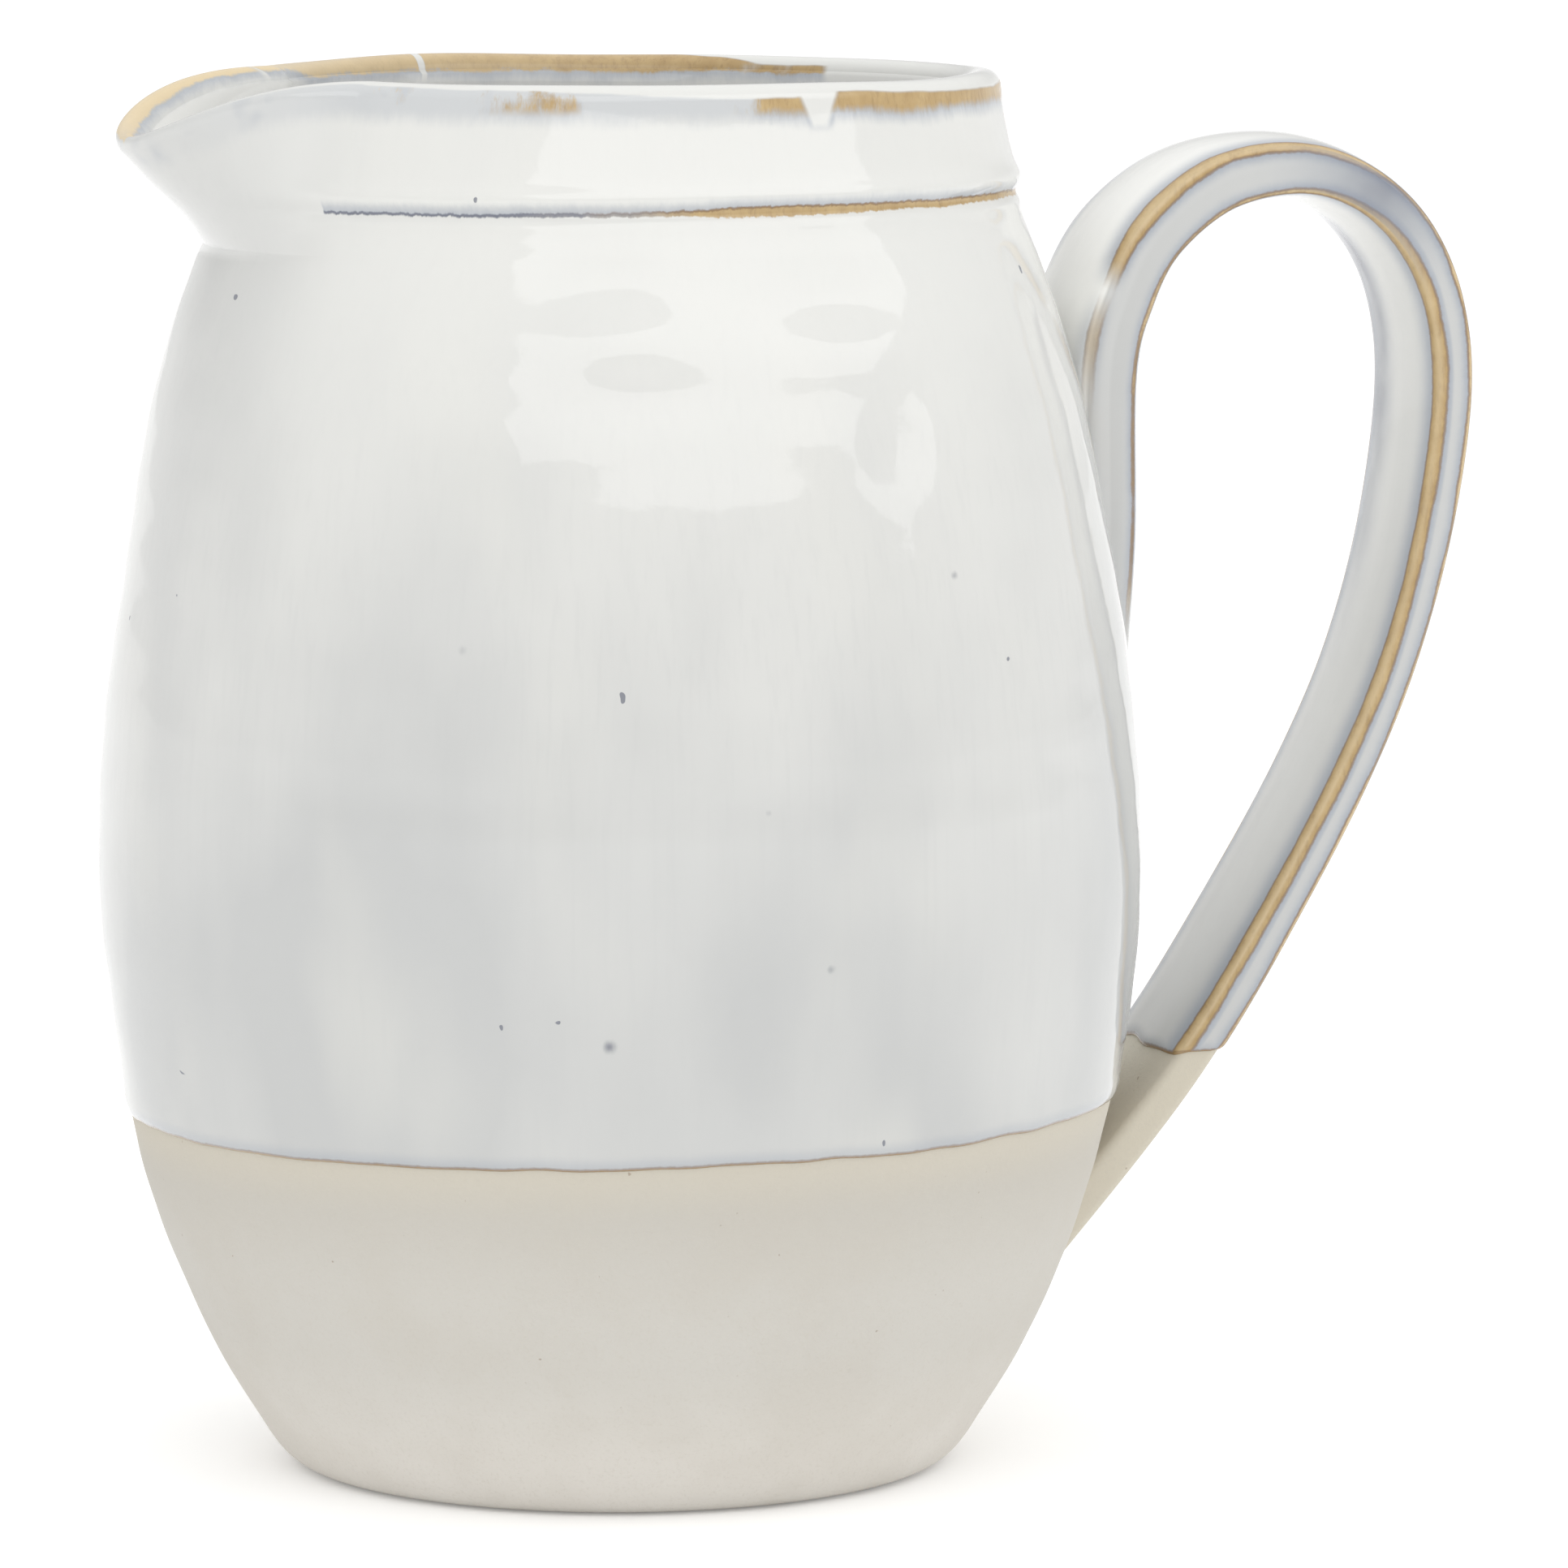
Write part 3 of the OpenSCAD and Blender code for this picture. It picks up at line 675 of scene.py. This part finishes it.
def slip_seam(name, low, high, width, over, proud):
    """A soft pad of slip pressed on the wall behind one end of the strap, proud mm thick in the
    middle and fading into the wall. over is the glaze that lies on the wall there."""
    rings = np.array([0.05, 0.4, 0.7, 0.82, 0.88, 0.92, 0.95, 0.975, 0.99, 1.0])
    turn = np.radians(np.arange(0, 360, 3))
    square = 3.2
    unit_y = np.sign(np.cos(turn)) * np.abs(np.cos(turn)) ** (2 / square)
    unit_z = np.sign(np.sin(turn)) * np.abs(np.sin(turn)) ** (2 / square)
    wobble = 1 + 0.02 * np.sin(5 * turn + 1) + 0.012 * np.sin(11 * turn)
    y = rings[:, None] * unit_y * wobble * width / 2
    z = (low + high) / 2 + rings[:, None] * unit_z * wobble * (high - low) / 2
    swell = over + proud * np.sqrt(np.clip(1 - rings ** 4, 0, 1))[:, None] - 0.05
    top = np.sqrt((wall_r(z) + swell) ** 2 - y ** 2)
    under = np.sqrt((wall_r(z) - 0.8) ** 2 - y ** 2)
    points = np.vstack([np.stack([under, y, z], 2), np.stack([top, y, z], 2)[::-1]])
    rim = np.concatenate([rings, rings[::-1]])[:, None] * np.ones((1, len(turn)))
    poles = (points[0].mean(0), points[-1].mean(0))
    return build(name, points, False, poles, masks={"rim": rim})


# ---------------------------------------------------------------- material helpers
class Shader:
    """A node material, built up with short calls. Every call returns a socket."""

    def __init__(self, name):
        self.material = bpy.data.materials.new(name)
        self.material.use_nodes = True
        self.tree = self.material.node_tree
        self.bsdf = self.tree.nodes["Principled BSDF"]
        self.place = self.node("ShaderNodeTexCoord").outputs["Object"]

    def node(self, kind, **settings):
        made = self.tree.nodes.new(kind)
        for key, value in settings.items():
            setattr(made, key, value)
        return made

    def feed(self, socket, value):
        if isinstance(value, bpy.types.NodeSocket):
            self.tree.links.new(value, socket)
        else:
            socket.default_value = value

    def mask(self, name):
        """One of the mesh's values. It reads as 0 on a mesh that doesn't have it."""
        return self.node("ShaderNodeAttribute", attribute_name=name).outputs["Fac"]

    def math(self, operation, a, b=0.0, clamp=False):
        made = self.node("ShaderNodeMath", operation=operation, use_clamp=clamp)
        self.feed(made.inputs[0], a)
        self.feed(made.inputs[1], b)
        return made.outputs[0]

    def plus(self, a, b, clamp=False):
        return self.math("ADD", a, b, clamp)

    def minus(self, a, b):
        return self.math("SUBTRACT", a, b)

    def times(self, a, b, clamp=False):
        return self.math("MULTIPLY", a, b, clamp)

    def most(self, a, b):
        return self.math("MAXIMUM", a, b)

    def step(self, value, low, high):
        """Smooth 0 to 1 as value goes from low to high (low may be above high)."""
        made = self.node("ShaderNodeMapRange", interpolation_type="SMOOTHSTEP")
        self.feed(made.inputs["Value"], value)
        self.feed(made.inputs["From Min"], low)
        self.feed(made.inputs["From Max"], high)
        return made.outputs[0]

    def stretch(self, x, y, z):
        made = self.node("ShaderNodeVectorMath", operation="MULTIPLY")
        self.feed(made.inputs[0], self.place)
        made.inputs[1].default_value = (x, y, z)
        return made.outputs[0]

    def noise(self, size_mm, detail=2.0, rough=0.5, vector=None, warp=0.0):
        made = self.node("ShaderNodeTexNoise")
        self.feed(made.inputs["Vector"], vector or self.place)
        made.inputs["Scale"].default_value = 1 / (size_mm * MM)
        made.inputs["Detail"].default_value = detail
        made.inputs["Roughness"].default_value = rough
        made.inputs["Distortion"].default_value = warp
        return made.outputs["Fac"]

    def mix(self, share, a, b):
        made = self.node("ShaderNodeMix", data_type="RGBA")
        for slot, value in ((0, share), (6, a), (7, b)):
            self.feed(made.inputs[slot], value)
        return made.outputs[2]

    def bump(self, height, depth_mm, below=None):
        made = self.node("ShaderNodeBump")
        made.inputs["Distance"].default_value = depth_mm * MM
        self.feed(made.inputs["Height"], height)
        if below:
            self.feed(made.inputs["Normal"], below)
        return made.outputs["Normal"]

    def set(self, **values):
        for key, value in values.items():
            self.feed(self.bsdf.inputs[key.replace("_", " ")], value)


def colour(red, green, blue):
    """An sRGB colour in 0 to 255, as linear RGBA."""
    shares = (red / 255, green / 255, blue / 255)
    linear = [c / 12.92 if c <= 0.04045 else ((c + 0.055) / 1.055) ** 2.4 for c in shares]
    return (*linear, 1.0)


MILK = colour(209, 209, 206)
CLOUD = colour(187, 188, 187)
CREAM = colour(219, 218, 211)
# Painted light: the milk as if lit from above, mixed into the upper pot
TOP_LIT_MILK = colour(222, 222, 218)
TAN_CREAM = colour(224, 206, 170)
# Whiter milk of the strap, mixed in more as painted light where its faces lie in shade
STRAP_MILK_AND_LIGHT = colour(251, 251, 248)
TAN = colour(158, 128, 80)
TAN_PALE = colour(196, 170, 122)
RUST = colour(118, 88, 56)
BLUE_GREY = colour(142, 151, 166)
INK = colour(92, 96, 112)
GLAZE_IOR = 1.52


def broken_glaze(s, base, tan, halo, dark, pale=0.0):
    """Glaze where it breaks over an edge: a blue-grey halo, then a dark line, then bare tan."""
    shade = s.mix(s.times(halo, 0.75), base, BLUE_GREY)
    body = s.mix(s.noise(2.5, 3), TAN, TAN_PALE)
    streaks = s.step(s.noise(0.7, 3, 0.7, s.stretch(1, 1, 0.2)), 0.45, 0.75)
    body = s.mix(s.times(streaks, 0.35), body, RUST)
    # pale tan: the lip's own colour on the pot, a painted highlight along the strap's corners
    body = s.mix(pale, body, TAN_CREAM)
    shade = s.mix(tan, shade, body)
    return s.mix(s.times(dark, 0.7), shade, RUST)


def milky(s, thin=0.0):
    """The glaze away from its edges: cloudy milk with fine upright streaks, whiter high up as painted light
    from above (left off where it is thin) and greyer low down as painted shade. Its heights are in metres."""
    height = s.node("ShaderNodeSeparateXYZ")
    s.feed(height.inputs[0], s.place)
    # painted shade: the glaze turns greyer low down
    low = s.step(height.outputs["Z"], 0.115, 0.055)
    cloud = s.step(s.noise(30, 3, 0.45, s.stretch(1, 1, 0.5)), 0.3, 0.78)
    cloud = s.plus(s.times(cloud, 0.7), s.times(low, 0.6))
    cloud = s.plus(cloud, s.mask("cloud"), True)
    shade = s.mix(cloud, MILK, CLOUD)
    cream = s.step(s.noise(22, 2, 0.4, s.stretch(1, 1, 0.5)), 0.48, 0.8)
    shade = s.mix(s.times(cream, 0.4), shade, CREAM)
    streaks = s.noise(1.1, 3, 0.6, s.stretch(1, 1, 0.03))
    shade = s.mix(s.times(s.step(streaks, 0.45, 0.75), 0.14), shade, CLOUD)
    # painted light from above: the upper pot turns whiter
    thick = s.times(s.step(height.outputs["Z"], 0.1, 0.158), 0.7)
    return s.mix(s.times(thick, s.minus(1.0, thin)), shade, TOP_LIT_MILK)


# Iron spots in the glaze: (angle, height mm, radius mm, strength)
IRON_SPOTS = [(72, 60.8, 1.1, 1.0), (55.9, 107.5, 0.8, 0.25), (96, 69.4, 0.7, 0.5), (114, 115, 0.7, 0.6),
              (89, 88.4, 0.5, 0.3), (215, 90, 0.8, 0.7), (300, 120, 0.6, 0.5), (262, 66, 0.9, 0.8)]


def spot_place(angle, height):
    r = float(wall_r(height)) + GLAZE_T
    a = math.radians(angle)
    return (-r * math.cos(a) * MM, -r * math.sin(a) * MM, height * MM)


def groove_break(s, jag, slow):
    """Where the glaze breaks in the groove under the ridge: how much tan, ink, dark line and halo."""
    groove_tan = s.mask("groove_tan")
    up = s.plus(s.mask("groove_mm"), s.times(jag, 0.7))
    up = s.plus(up, s.times(slow, 0.6))
    thick = s.plus(0.45, s.noise(6, 2, 0.5))
    half = s.plus(s.times(s.times(groove_tan, 0.48), thick), 0.15)
    on = s.step(s.plus(s.mask("groove_on"), s.times(slow, 0.4)), 0.4, 0.6)
    line = s.times(s.step(s.minus(s.math("ABSOLUTE", up), half), 0.16, -0.1), on)
    brown = s.step(s.plus(groove_tan, s.times(slow, 0.3)), 0.06, 0.3)
    above = s.minus(up, half)
    dark = s.times(s.step(s.math("ABSOLUTE", above), 0.25, 0.05), s.times(on, brown))
    glow = s.times(s.step(above, 1.6, 0.0), s.step(above, -0.4, 0.0))
    return s.times(line, brown), s.times(line, s.minus(1.0, brown)), dark, s.times(s.times(glow, on), 0.75)


# Outside, the band of bare tan ends this far from the crest of the lip, in mm
BAND_END = 4.7


def pot_glaze(name, inside):
    """The glaze on the pot, outside or inside: broken over the lip, with specks and iron spots. jag
    and slow make the edges of the break uneven, finely and widely; past is how far a point lies
    past the band's end, and below is 1 where the band has begun."""
    s = Shader(name)
    jag = s.minus(s.noise(0.9, 3, 0.7, s.stretch(1, 1, 0.25)), 0.5)
    slow = s.minus(s.noise(7, 2), 0.5)
    strength = s.mask("rim_inside" if inside else "rim_outside")
    crest = s.mask("crest_mm")
    rim = s.plus(crest, s.plus(s.times(slow, 2.0), s.times(jag, 1.1)))
    on_top = s.step(s.plus(s.mask("rim_top"), slow), 0.4, 0.6)
    uneven = s.plus(slow, s.times(jag, 0.15 if inside else 0.5))
    here = s.step(s.plus(strength, uneven), 0.4, 0.65)
    if inside:
        past = s.minus(rim, s.mask("rim_reach"))
        below = s.plus(crest, s.times(slow, 0.9))
        below = s.minus(below, s.mask("rim_in_start"))
        below = s.most(s.step(below, -0.1, 0.3), on_top)
        tan = s.times(s.times(s.step(past, 0.35, -0.35), here), below)
        halo = s.times(s.times(s.step(past, 2.2, -0.4), here), below)
        dark = 0.0
        ink = 0.0
    else:
        past = s.minus(rim, BAND_END)
        below = s.plus(crest, s.times(slow, 0.7))
        below = s.step(s.minus(below, s.mask("rim_start")), -0.15, 0.3)
        tan = s.times(s.times(s.step(past, 0.7, -0.7), here), below)
        drip = s.plus(s.mask("drip_mm"), s.times(jag, 0.35))
        under_drip = s.step(drip, -0.35, 0.6)
        tan = s.times(tan, s.minus(1.0, under_drip))
        tan = s.most(tan, s.times(on_top, s.step(rim, 1.5, 1.1)))
        wide = s.step(s.plus(strength, s.times(slow, 1.6)), 0.05, 0.9)
        haze = s.times(s.minus(1.0, s.mask("spout")), 0.45)
        wide = s.most(wide, haze)
        halo = s.times(s.step(past, 2.2, -0.5), s.times(below, wide))
        ring = s.times(s.step(drip, -1.3, -0.1), s.step(crest, 7.5, 5.5))
        halo = s.most(halo, s.times(s.times(ring, below), 0.8))
        halo = s.times(halo, s.minus(1.0, under_drip))
        groove, ink, dark, glow = groove_break(s, jag, slow)
        tan = s.most(tan, groove)
        halo = s.most(halo, glow)
        edge = s.plus(s.mask("edge_mm"), s.times(jag, 0.3))
        tan = s.most(tan, s.times(s.step(edge, 0.3, 0.12), 0.8))
        dark = s.most(dark, s.times(s.step(edge, 0.55, 0.3), 0.8))
        halo = s.most(halo, s.times(s.step(edge, 2.2, 0.3), 0.45))
    thin = s.times(s.mask("spout"), 0.0 if inside else 0.9)
    shade = broken_glaze(s, milky(s, thin), tan, halo, dark, s.mask("pale"))
    shade = s.mix(s.times(ink, 0.85), shade, INK)
    specks = s.step(s.noise(1.7, 0, 0.5), 0.905, 0.925)
    for angle, height, size, amount in [] if inside else IRON_SPOTS:
        away = s.node("ShaderNodeVectorMath", operation="DISTANCE")
        s.feed(away.inputs[0], s.place)
        away.inputs[1].default_value = spot_place(angle, height)
        spot = s.step(s.plus(away.outputs["Value"], s.times(jag, 0.6 * MM)), size * MM, 0.0)
        specks = s.most(specks, s.times(spot, amount))
    shade = s.mix(s.times(specks, 0.75), shade, INK)
    s.set(Base_Color=shade, Roughness=s.plus(s.times(tan, 0.16), 0.05))
    ripple = s.bump(s.noise(5, 2, 0.4), 0.05)
    s.set(Normal=s.bump(s.noise(0.5, 1, 0.5), 0.004, ripple))
    s.bsdf.inputs["IOR"].default_value = GLAZE_IOR
    return s.material


def strap_glaze():
    """The glaze on the strap: tan along its corners, blue-grey beside them, milky on its faces; with painted
    light near the upper end and on the face towards the pot, painted shade on the sides, and a painted dark
    reflection under the crown.
    """
    s = Shader("strap_glaze")
    jag = s.minus(s.noise(0.8, 3, 0.7), 0.5)
    slow = s.minus(s.noise(9, 2), 0.5)
    corner = s.plus(s.mask("corner_mm"), s.plus(s.times(jag, 0.35), s.times(slow, 0.8)))
    width = s.mask("break_mm")
    tan = s.step(s.minus(corner, width), 0.25, -0.25)
    strength = s.mask("break_share")
    tan = s.times(tan, strength)
    dark = s.step(s.math("ABSOLUTE", s.minus(corner, width)), 0.3, 0.05)
    dark = s.times(dark, strength)
    reach = s.minus(5.0, s.times(s.mask("on_side"), 3.0))
    halo = s.step(s.minus(corner, width), reach, 0.0)
    halo = s.times(s.times(halo, halo), strength)
    edge = s.plus(s.mask("edge_mm"), s.times(jag, 0.3))
    tan = s.most(tan, s.times(s.step(edge, 0.3, 0.12), 0.9))
    dark = s.most(dark, s.step(edge, 0.5, 0.3))
    halo = s.most(s.times(halo, 0.95), s.times(s.step(edge, 2.0, 0.3), 0.5))
    # the strap's glaze is a little whiter all over; the more near the upper end's outer face and on the face
    # towards the pot is painted light
    painted_lift = s.times(s.mask("painted_light_facing_pot"), 0.4)
    painted_lift = s.plus(s.mask("root"), painted_lift)
    shade = s.mix(s.plus(0.2, painted_lift, True), milky(s), STRAP_MILK_AND_LIGHT)
    # painted shade: the strap's sides, lit hard by the front lamps, take a greyer milk
    shade = s.mix(s.times(s.mask("on_side"), 0.85), shade, CLOUD)
    # the tan is paler along each corner's middle, a painted highlight on the round corner
    middle = s.times(s.step(s.math("DIVIDE", corner, width), 0.9, 0.0), 0.4)
    shade = broken_glaze(s, shade, tan, halo, s.times(dark, 0.8), middle)
    # pooled glaze and a painted dark reflection, darkest under the crown
    pool_and_dark_reflection = s.times(s.mask("pool_and_dark_reflection"), s.plus(0.9, slow), True)
    shade = s.mix(pool_and_dark_reflection, shade, s.mix(pool_and_dark_reflection, BLUE_GREY, INK))
    s.set(Base_Color=shade, Roughness=s.plus(s.times(tan, 0.16), 0.06))
    s.set(Normal=s.bump(s.noise(3.5, 2, 0.4), 0.05))
    s.bsdf.inputs["IOR"].default_value = GLAZE_IOR
    return s.material


# Clay colours with painted light: the upper one is a shaded copy for just under the glaze, the low one a copy
# lit by the floor's bounce, the pale one a lit copy for the strap's face towards the pot
CLAY = colour(199, 196, 189)
CLAY_UPPER_SHADE = colour(190, 186, 177)
CLAY_FLOOR_LIT = colour(214, 210, 203)
CLAY_WARM = colour(207, 199, 180)
CLAY_PAINTED_LIGHT = colour(246, 240, 224)
CLAY_DARK = colour(190, 184, 173)


def bare_clay(name, warm_mm, warm):
    """Matte stoneware: fine grain, a few dark specks, and warmer within warm_mm of the glaze; with painted
    light:
    shaded high up under the glaze, lighter at the foot and on the strap's face towards the pot.
    """
    s = Shader(name)
    height = s.node("ShaderNodeSeparateXYZ")
    s.feed(height.inputs[0], s.place)
    # painted light: shaded clay high up under the glaze, clay lit by the floor's bounce at the foot
    shade = s.mix(s.step(height.outputs["Z"], 0.024, 0.044), CLAY, CLAY_UPPER_SHADE)
    shade = s.mix(s.step(height.outputs["Z"], 0.022, 0.003), shade, CLAY_FLOOR_LIT)
    shade = s.mix(s.times(s.step(s.noise(18, 3, 0.55), 0.38, 0.68), 0.25), shade, CLAY_DARK)
    shade = s.mix(s.times(s.step(s.mask("edge_mm"), warm_mm, 0.0), warm), shade, CLAY_WARM)
    # painted light on the strap's inner face, which faces the pot and lies in its shade
    shade = s.mix(s.mask("painted_light_facing_pot"), shade, CLAY_PAINTED_LIGHT)
    grain = s.noise(0.45, 2, 0.7)
    shade = s.mix(s.times(s.step(grain, 0.5, 0.75), 0.25), shade, CLAY_DARK)
    speck = s.step(s.noise(1.0, 1, 0.5), 0.79, 0.84)
    shade = s.mix(s.times(speck, 0.45), shade, RUST)
    s.set(Base_Color=shade, Roughness=s.plus(s.times(grain, 0.15), 0.72))
    rings = s.noise(1.6, 2, 0.5, s.stretch(0.03, 0.03, 1))
    s.set(Normal=s.bump(grain, 0.05, s.bump(rings, 0.035)))
    s.bsdf.inputs["Specular IOR Level"].default_value = 0.3
    return s.material


def slip_glazed():
    """Slip under a thin run of glaze, breaking to tan on its rim."""
    s = Shader("glazed_slip")
    rim = s.plus(s.mask("rim"), s.times(s.minus(s.noise(3, 2), 0.5), 0.12))
    tan = s.times(s.step(rim, 0.92, 0.99), s.step(s.noise(9, 2), 0.5, 0.62))
    shade = broken_glaze(s, milky(s), tan, 0.15, 0.0)
    s.set(Base_Color=shade, Roughness=s.plus(s.times(tan, 0.1), 0.1))
    s.set(Normal=s.bump(s.noise(3, 2), 0.06))
    return s.material


# ---------------------------------------------------------------- the pitcher
def finish_piece(piece, material, node):
    piece.data.materials.append(material)
    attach(piece, "root")
    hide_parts(node)


finish_piece(clay_body(), bare_clay("bare_stoneware", 7, 0.4), "body")
finish_piece(outer_glaze(), pot_glaze("dipped_glaze", False), "outer_glaze")
finish_piece(liner_glaze(), pot_glaze("poured_glaze", True), "liner_glaze")
finish_piece(clay_strap(), bare_clay("bare_strap", 9, 0.7), "handle")
finish_piece(handle_glaze(), strap_glaze(), "handle_glaze")
upper_seam = slip_seam("upper_slip_seam", *UPPER_SEAM_Z, UPPER_SEAM_W, GLAZE_T, 0.45)
finish_piece(upper_seam, slip_glazed(), "upper_slip_joint")
lower_seam = slip_seam("lower_slip_seam", *LOWER_SEAM_Z, LOWER_SEAM_W, 0.0, 0.5)
finish_piece(lower_seam, bare_clay("bare_slip", 9, 0.4), "lower_slip_joint")


# ---------------------------------------------------------------- the set
FLOOR_R = 14
FLOOR_GLOW = 0.11


def disc(name, radius, material):
    """A round floor of mesh rings, in metres."""
    rings = (0.05, 0.3, 1, 3, radius)
    turn = np.radians(np.arange(0, 360, 5))
    mesh = bpy.data.meshes.new(name)
    verts = [(0, 0, 0)]
    for r in rings:
        verts += [(r * math.cos(t), r * math.sin(t), 0) for t in turn]
    n = len(turn)
    faces = [(0, 1 + i, 1 + (i + 1) % n) for i in range(n)]
    for k in range(len(rings) - 1):
        faces += [(1 + k * n + i, 1 + (k + 1) * n + i, 1 + (k + 1) * n + (i + 1) % n, 1 + k * n + (i + 1) % n)
                  for i in range(n)]
    mesh.from_pydata(verts, [], faces)
    mesh.materials.append(material)
    made = bpy.data.objects.new(name, mesh)
    bpy.context.scene.collection.objects.link(made)


def floor_paint():
    """A pale paint that glows a little, so that the pitcher's shadow on it is faint."""
    s = Shader("pale_floor")
    s.set(Base_Color=s.mix(s.noise(60, 2), colour(253, 253, 253), colour(255, 255, 255)))
    s.bsdf.inputs["Roughness"].default_value = 0.9
    s.bsdf.inputs["Emission Color"].default_value = (1, 1, 1, 1)
    s.bsdf.inputs["Emission Strength"].default_value = FLOOR_GLOW
    return s.material


disc("floor", FLOOR_R, floor_paint())


def aim(thing, place, target):
    """Puts a lamp or the camera at a place and turns it to look at target, both in metres."""
    thing.location = place
    direction = mathutils.Vector(target) - mathutils.Vector(place)
    thing.rotation_euler = direction.to_track_quat("-Z", "Y").to_euler()


# The lamps look at the pitcher's middle, at this height in metres; the camera looks beside it
MIDDLE_Z = 87 * MM
# The key softbox is turned about its own axis by this many degrees
KEY_TURN = -1


def outwards(azimuth, elevation):
    """Direction out from the pitcher, from two angles in degrees. Azimuth is from straight in front
    of the handle's plane (-Y)."""
    az, el = math.radians(azimuth), math.radians(elevation)
    return mathutils.Vector((math.cos(el) * math.sin(az), -math.cos(el) * math.cos(az), math.sin(el)))


def softbox(name, azimuth, elevation, distance, wide, tall, watts):
    """A soft rectangular lamp, with its distance and sides in metres."""
    lamp = bpy.data.lights.new(name, "AREA")
    lamp.shape = "RECTANGLE"
    lamp.size = wide
    lamp.size_y = tall
    lamp.energy = watts
    made = bpy.data.objects.new(name, lamp)
    bpy.context.scene.collection.objects.link(made)
    aim(made, outwards(azimuth, elevation) * distance + mathutils.Vector((0, 0, MIDDLE_Z)), (0, 0, MIDDLE_Z))
    return made


# Azimuth, elevation, distance, width, height and watts. Only the key is seen in the glaze, and it
# lights nothing else; the others light without being seen
key = softbox("key_softbox", 11, 35.5, 1.6, 3.2, 0.98, 12)
key.rotation_euler.rotate_axis("Z", math.radians(KEY_TURN))
key.visible_diffuse = False
fill = softbox("fill_softbox", -2, 38, 1.8, 1.2, 1.0, 3.5)
left = softbox("left_softbox", -68, 42, 1.8, 1.8, 1.4, 4.5)
right_side = softbox("right_softbox", 84, 26, 1.8, 1.4, 1.2, 5)
for soft_lamp in (fill, left, right_side):
    soft_lamp.visible_glossy = False

# The sky's strength at the bottom and the top, and what its bright horizon adds up to a height
SKY_BOTTOM = 0.43
SKY_TOP = 1.28
HORIZON_ADDS = 0.46
HORIZON_UP_TO = 0.22
world = bpy.data.worlds.new("studio")
world.use_nodes = True
sky = world.node_tree.nodes
direction = sky.new("ShaderNodeTexCoord")
parts = sky.new("ShaderNodeSeparateXYZ")
brighter = sky.new("ShaderNodeMapRange")
brighter.inputs["To Min"].default_value = SKY_BOTTOM
brighter.inputs["To Max"].default_value = SKY_TOP
sky["Background"].inputs["Color"].default_value = (1, 1, 1, 1)
world.node_tree.links.new(direction.outputs["Generated"], parts.inputs[0])
horizon = sky.new("ShaderNodeMapRange")
horizon.interpolation_type = "SMOOTHSTEP"
horizon.inputs["From Max"].default_value = HORIZON_UP_TO
horizon.inputs["To Min"].default_value = HORIZON_ADDS
horizon.inputs["To Max"].default_value = 0.0
both = sky.new("ShaderNodeMath")
for ramp, socket in ((brighter, 0), (horizon, 1)):
    world.node_tree.links.new(parts.outputs["Z"], ramp.inputs["Value"])
    world.node_tree.links.new(ramp.outputs[0], both.inputs[socket])
world.node_tree.links.new(both.outputs[0], sky["Background"].inputs["Strength"])
bpy.context.scene.world = world
bpy.context.scene.view_settings.view_transform = "Standard"

# ---------------------------------------------------------------- camera
VIEW_AZIMUTH = -18
VIEW_ELEVATION = 6.75
VIEW_DISTANCE = 1.15
LOOK_RIGHT = 20.6 * MM
LOOK_DOWN = 2.4 * MM
az = math.radians(VIEW_AZIMUTH)
right = mathutils.Vector((math.cos(az), math.sin(az), 0))
middle = mathutils.Vector((0, 0, MIDDLE_Z))
look_at = middle + right * LOOK_RIGHT - mathutils.Vector((0, 0, LOOK_DOWN))
camera_data = bpy.data.cameras.new("camera")
camera_data.lens = 212
camera_data.sensor_width = 36
camera = bpy.data.objects.new("camera", camera_data)
bpy.context.scene.collection.objects.link(camera)
aim(camera, look_at + outwards(VIEW_AZIMUTH, VIEW_ELEVATION) * VIEW_DISTANCE, look_at)
bpy.context.scene.camera = camera
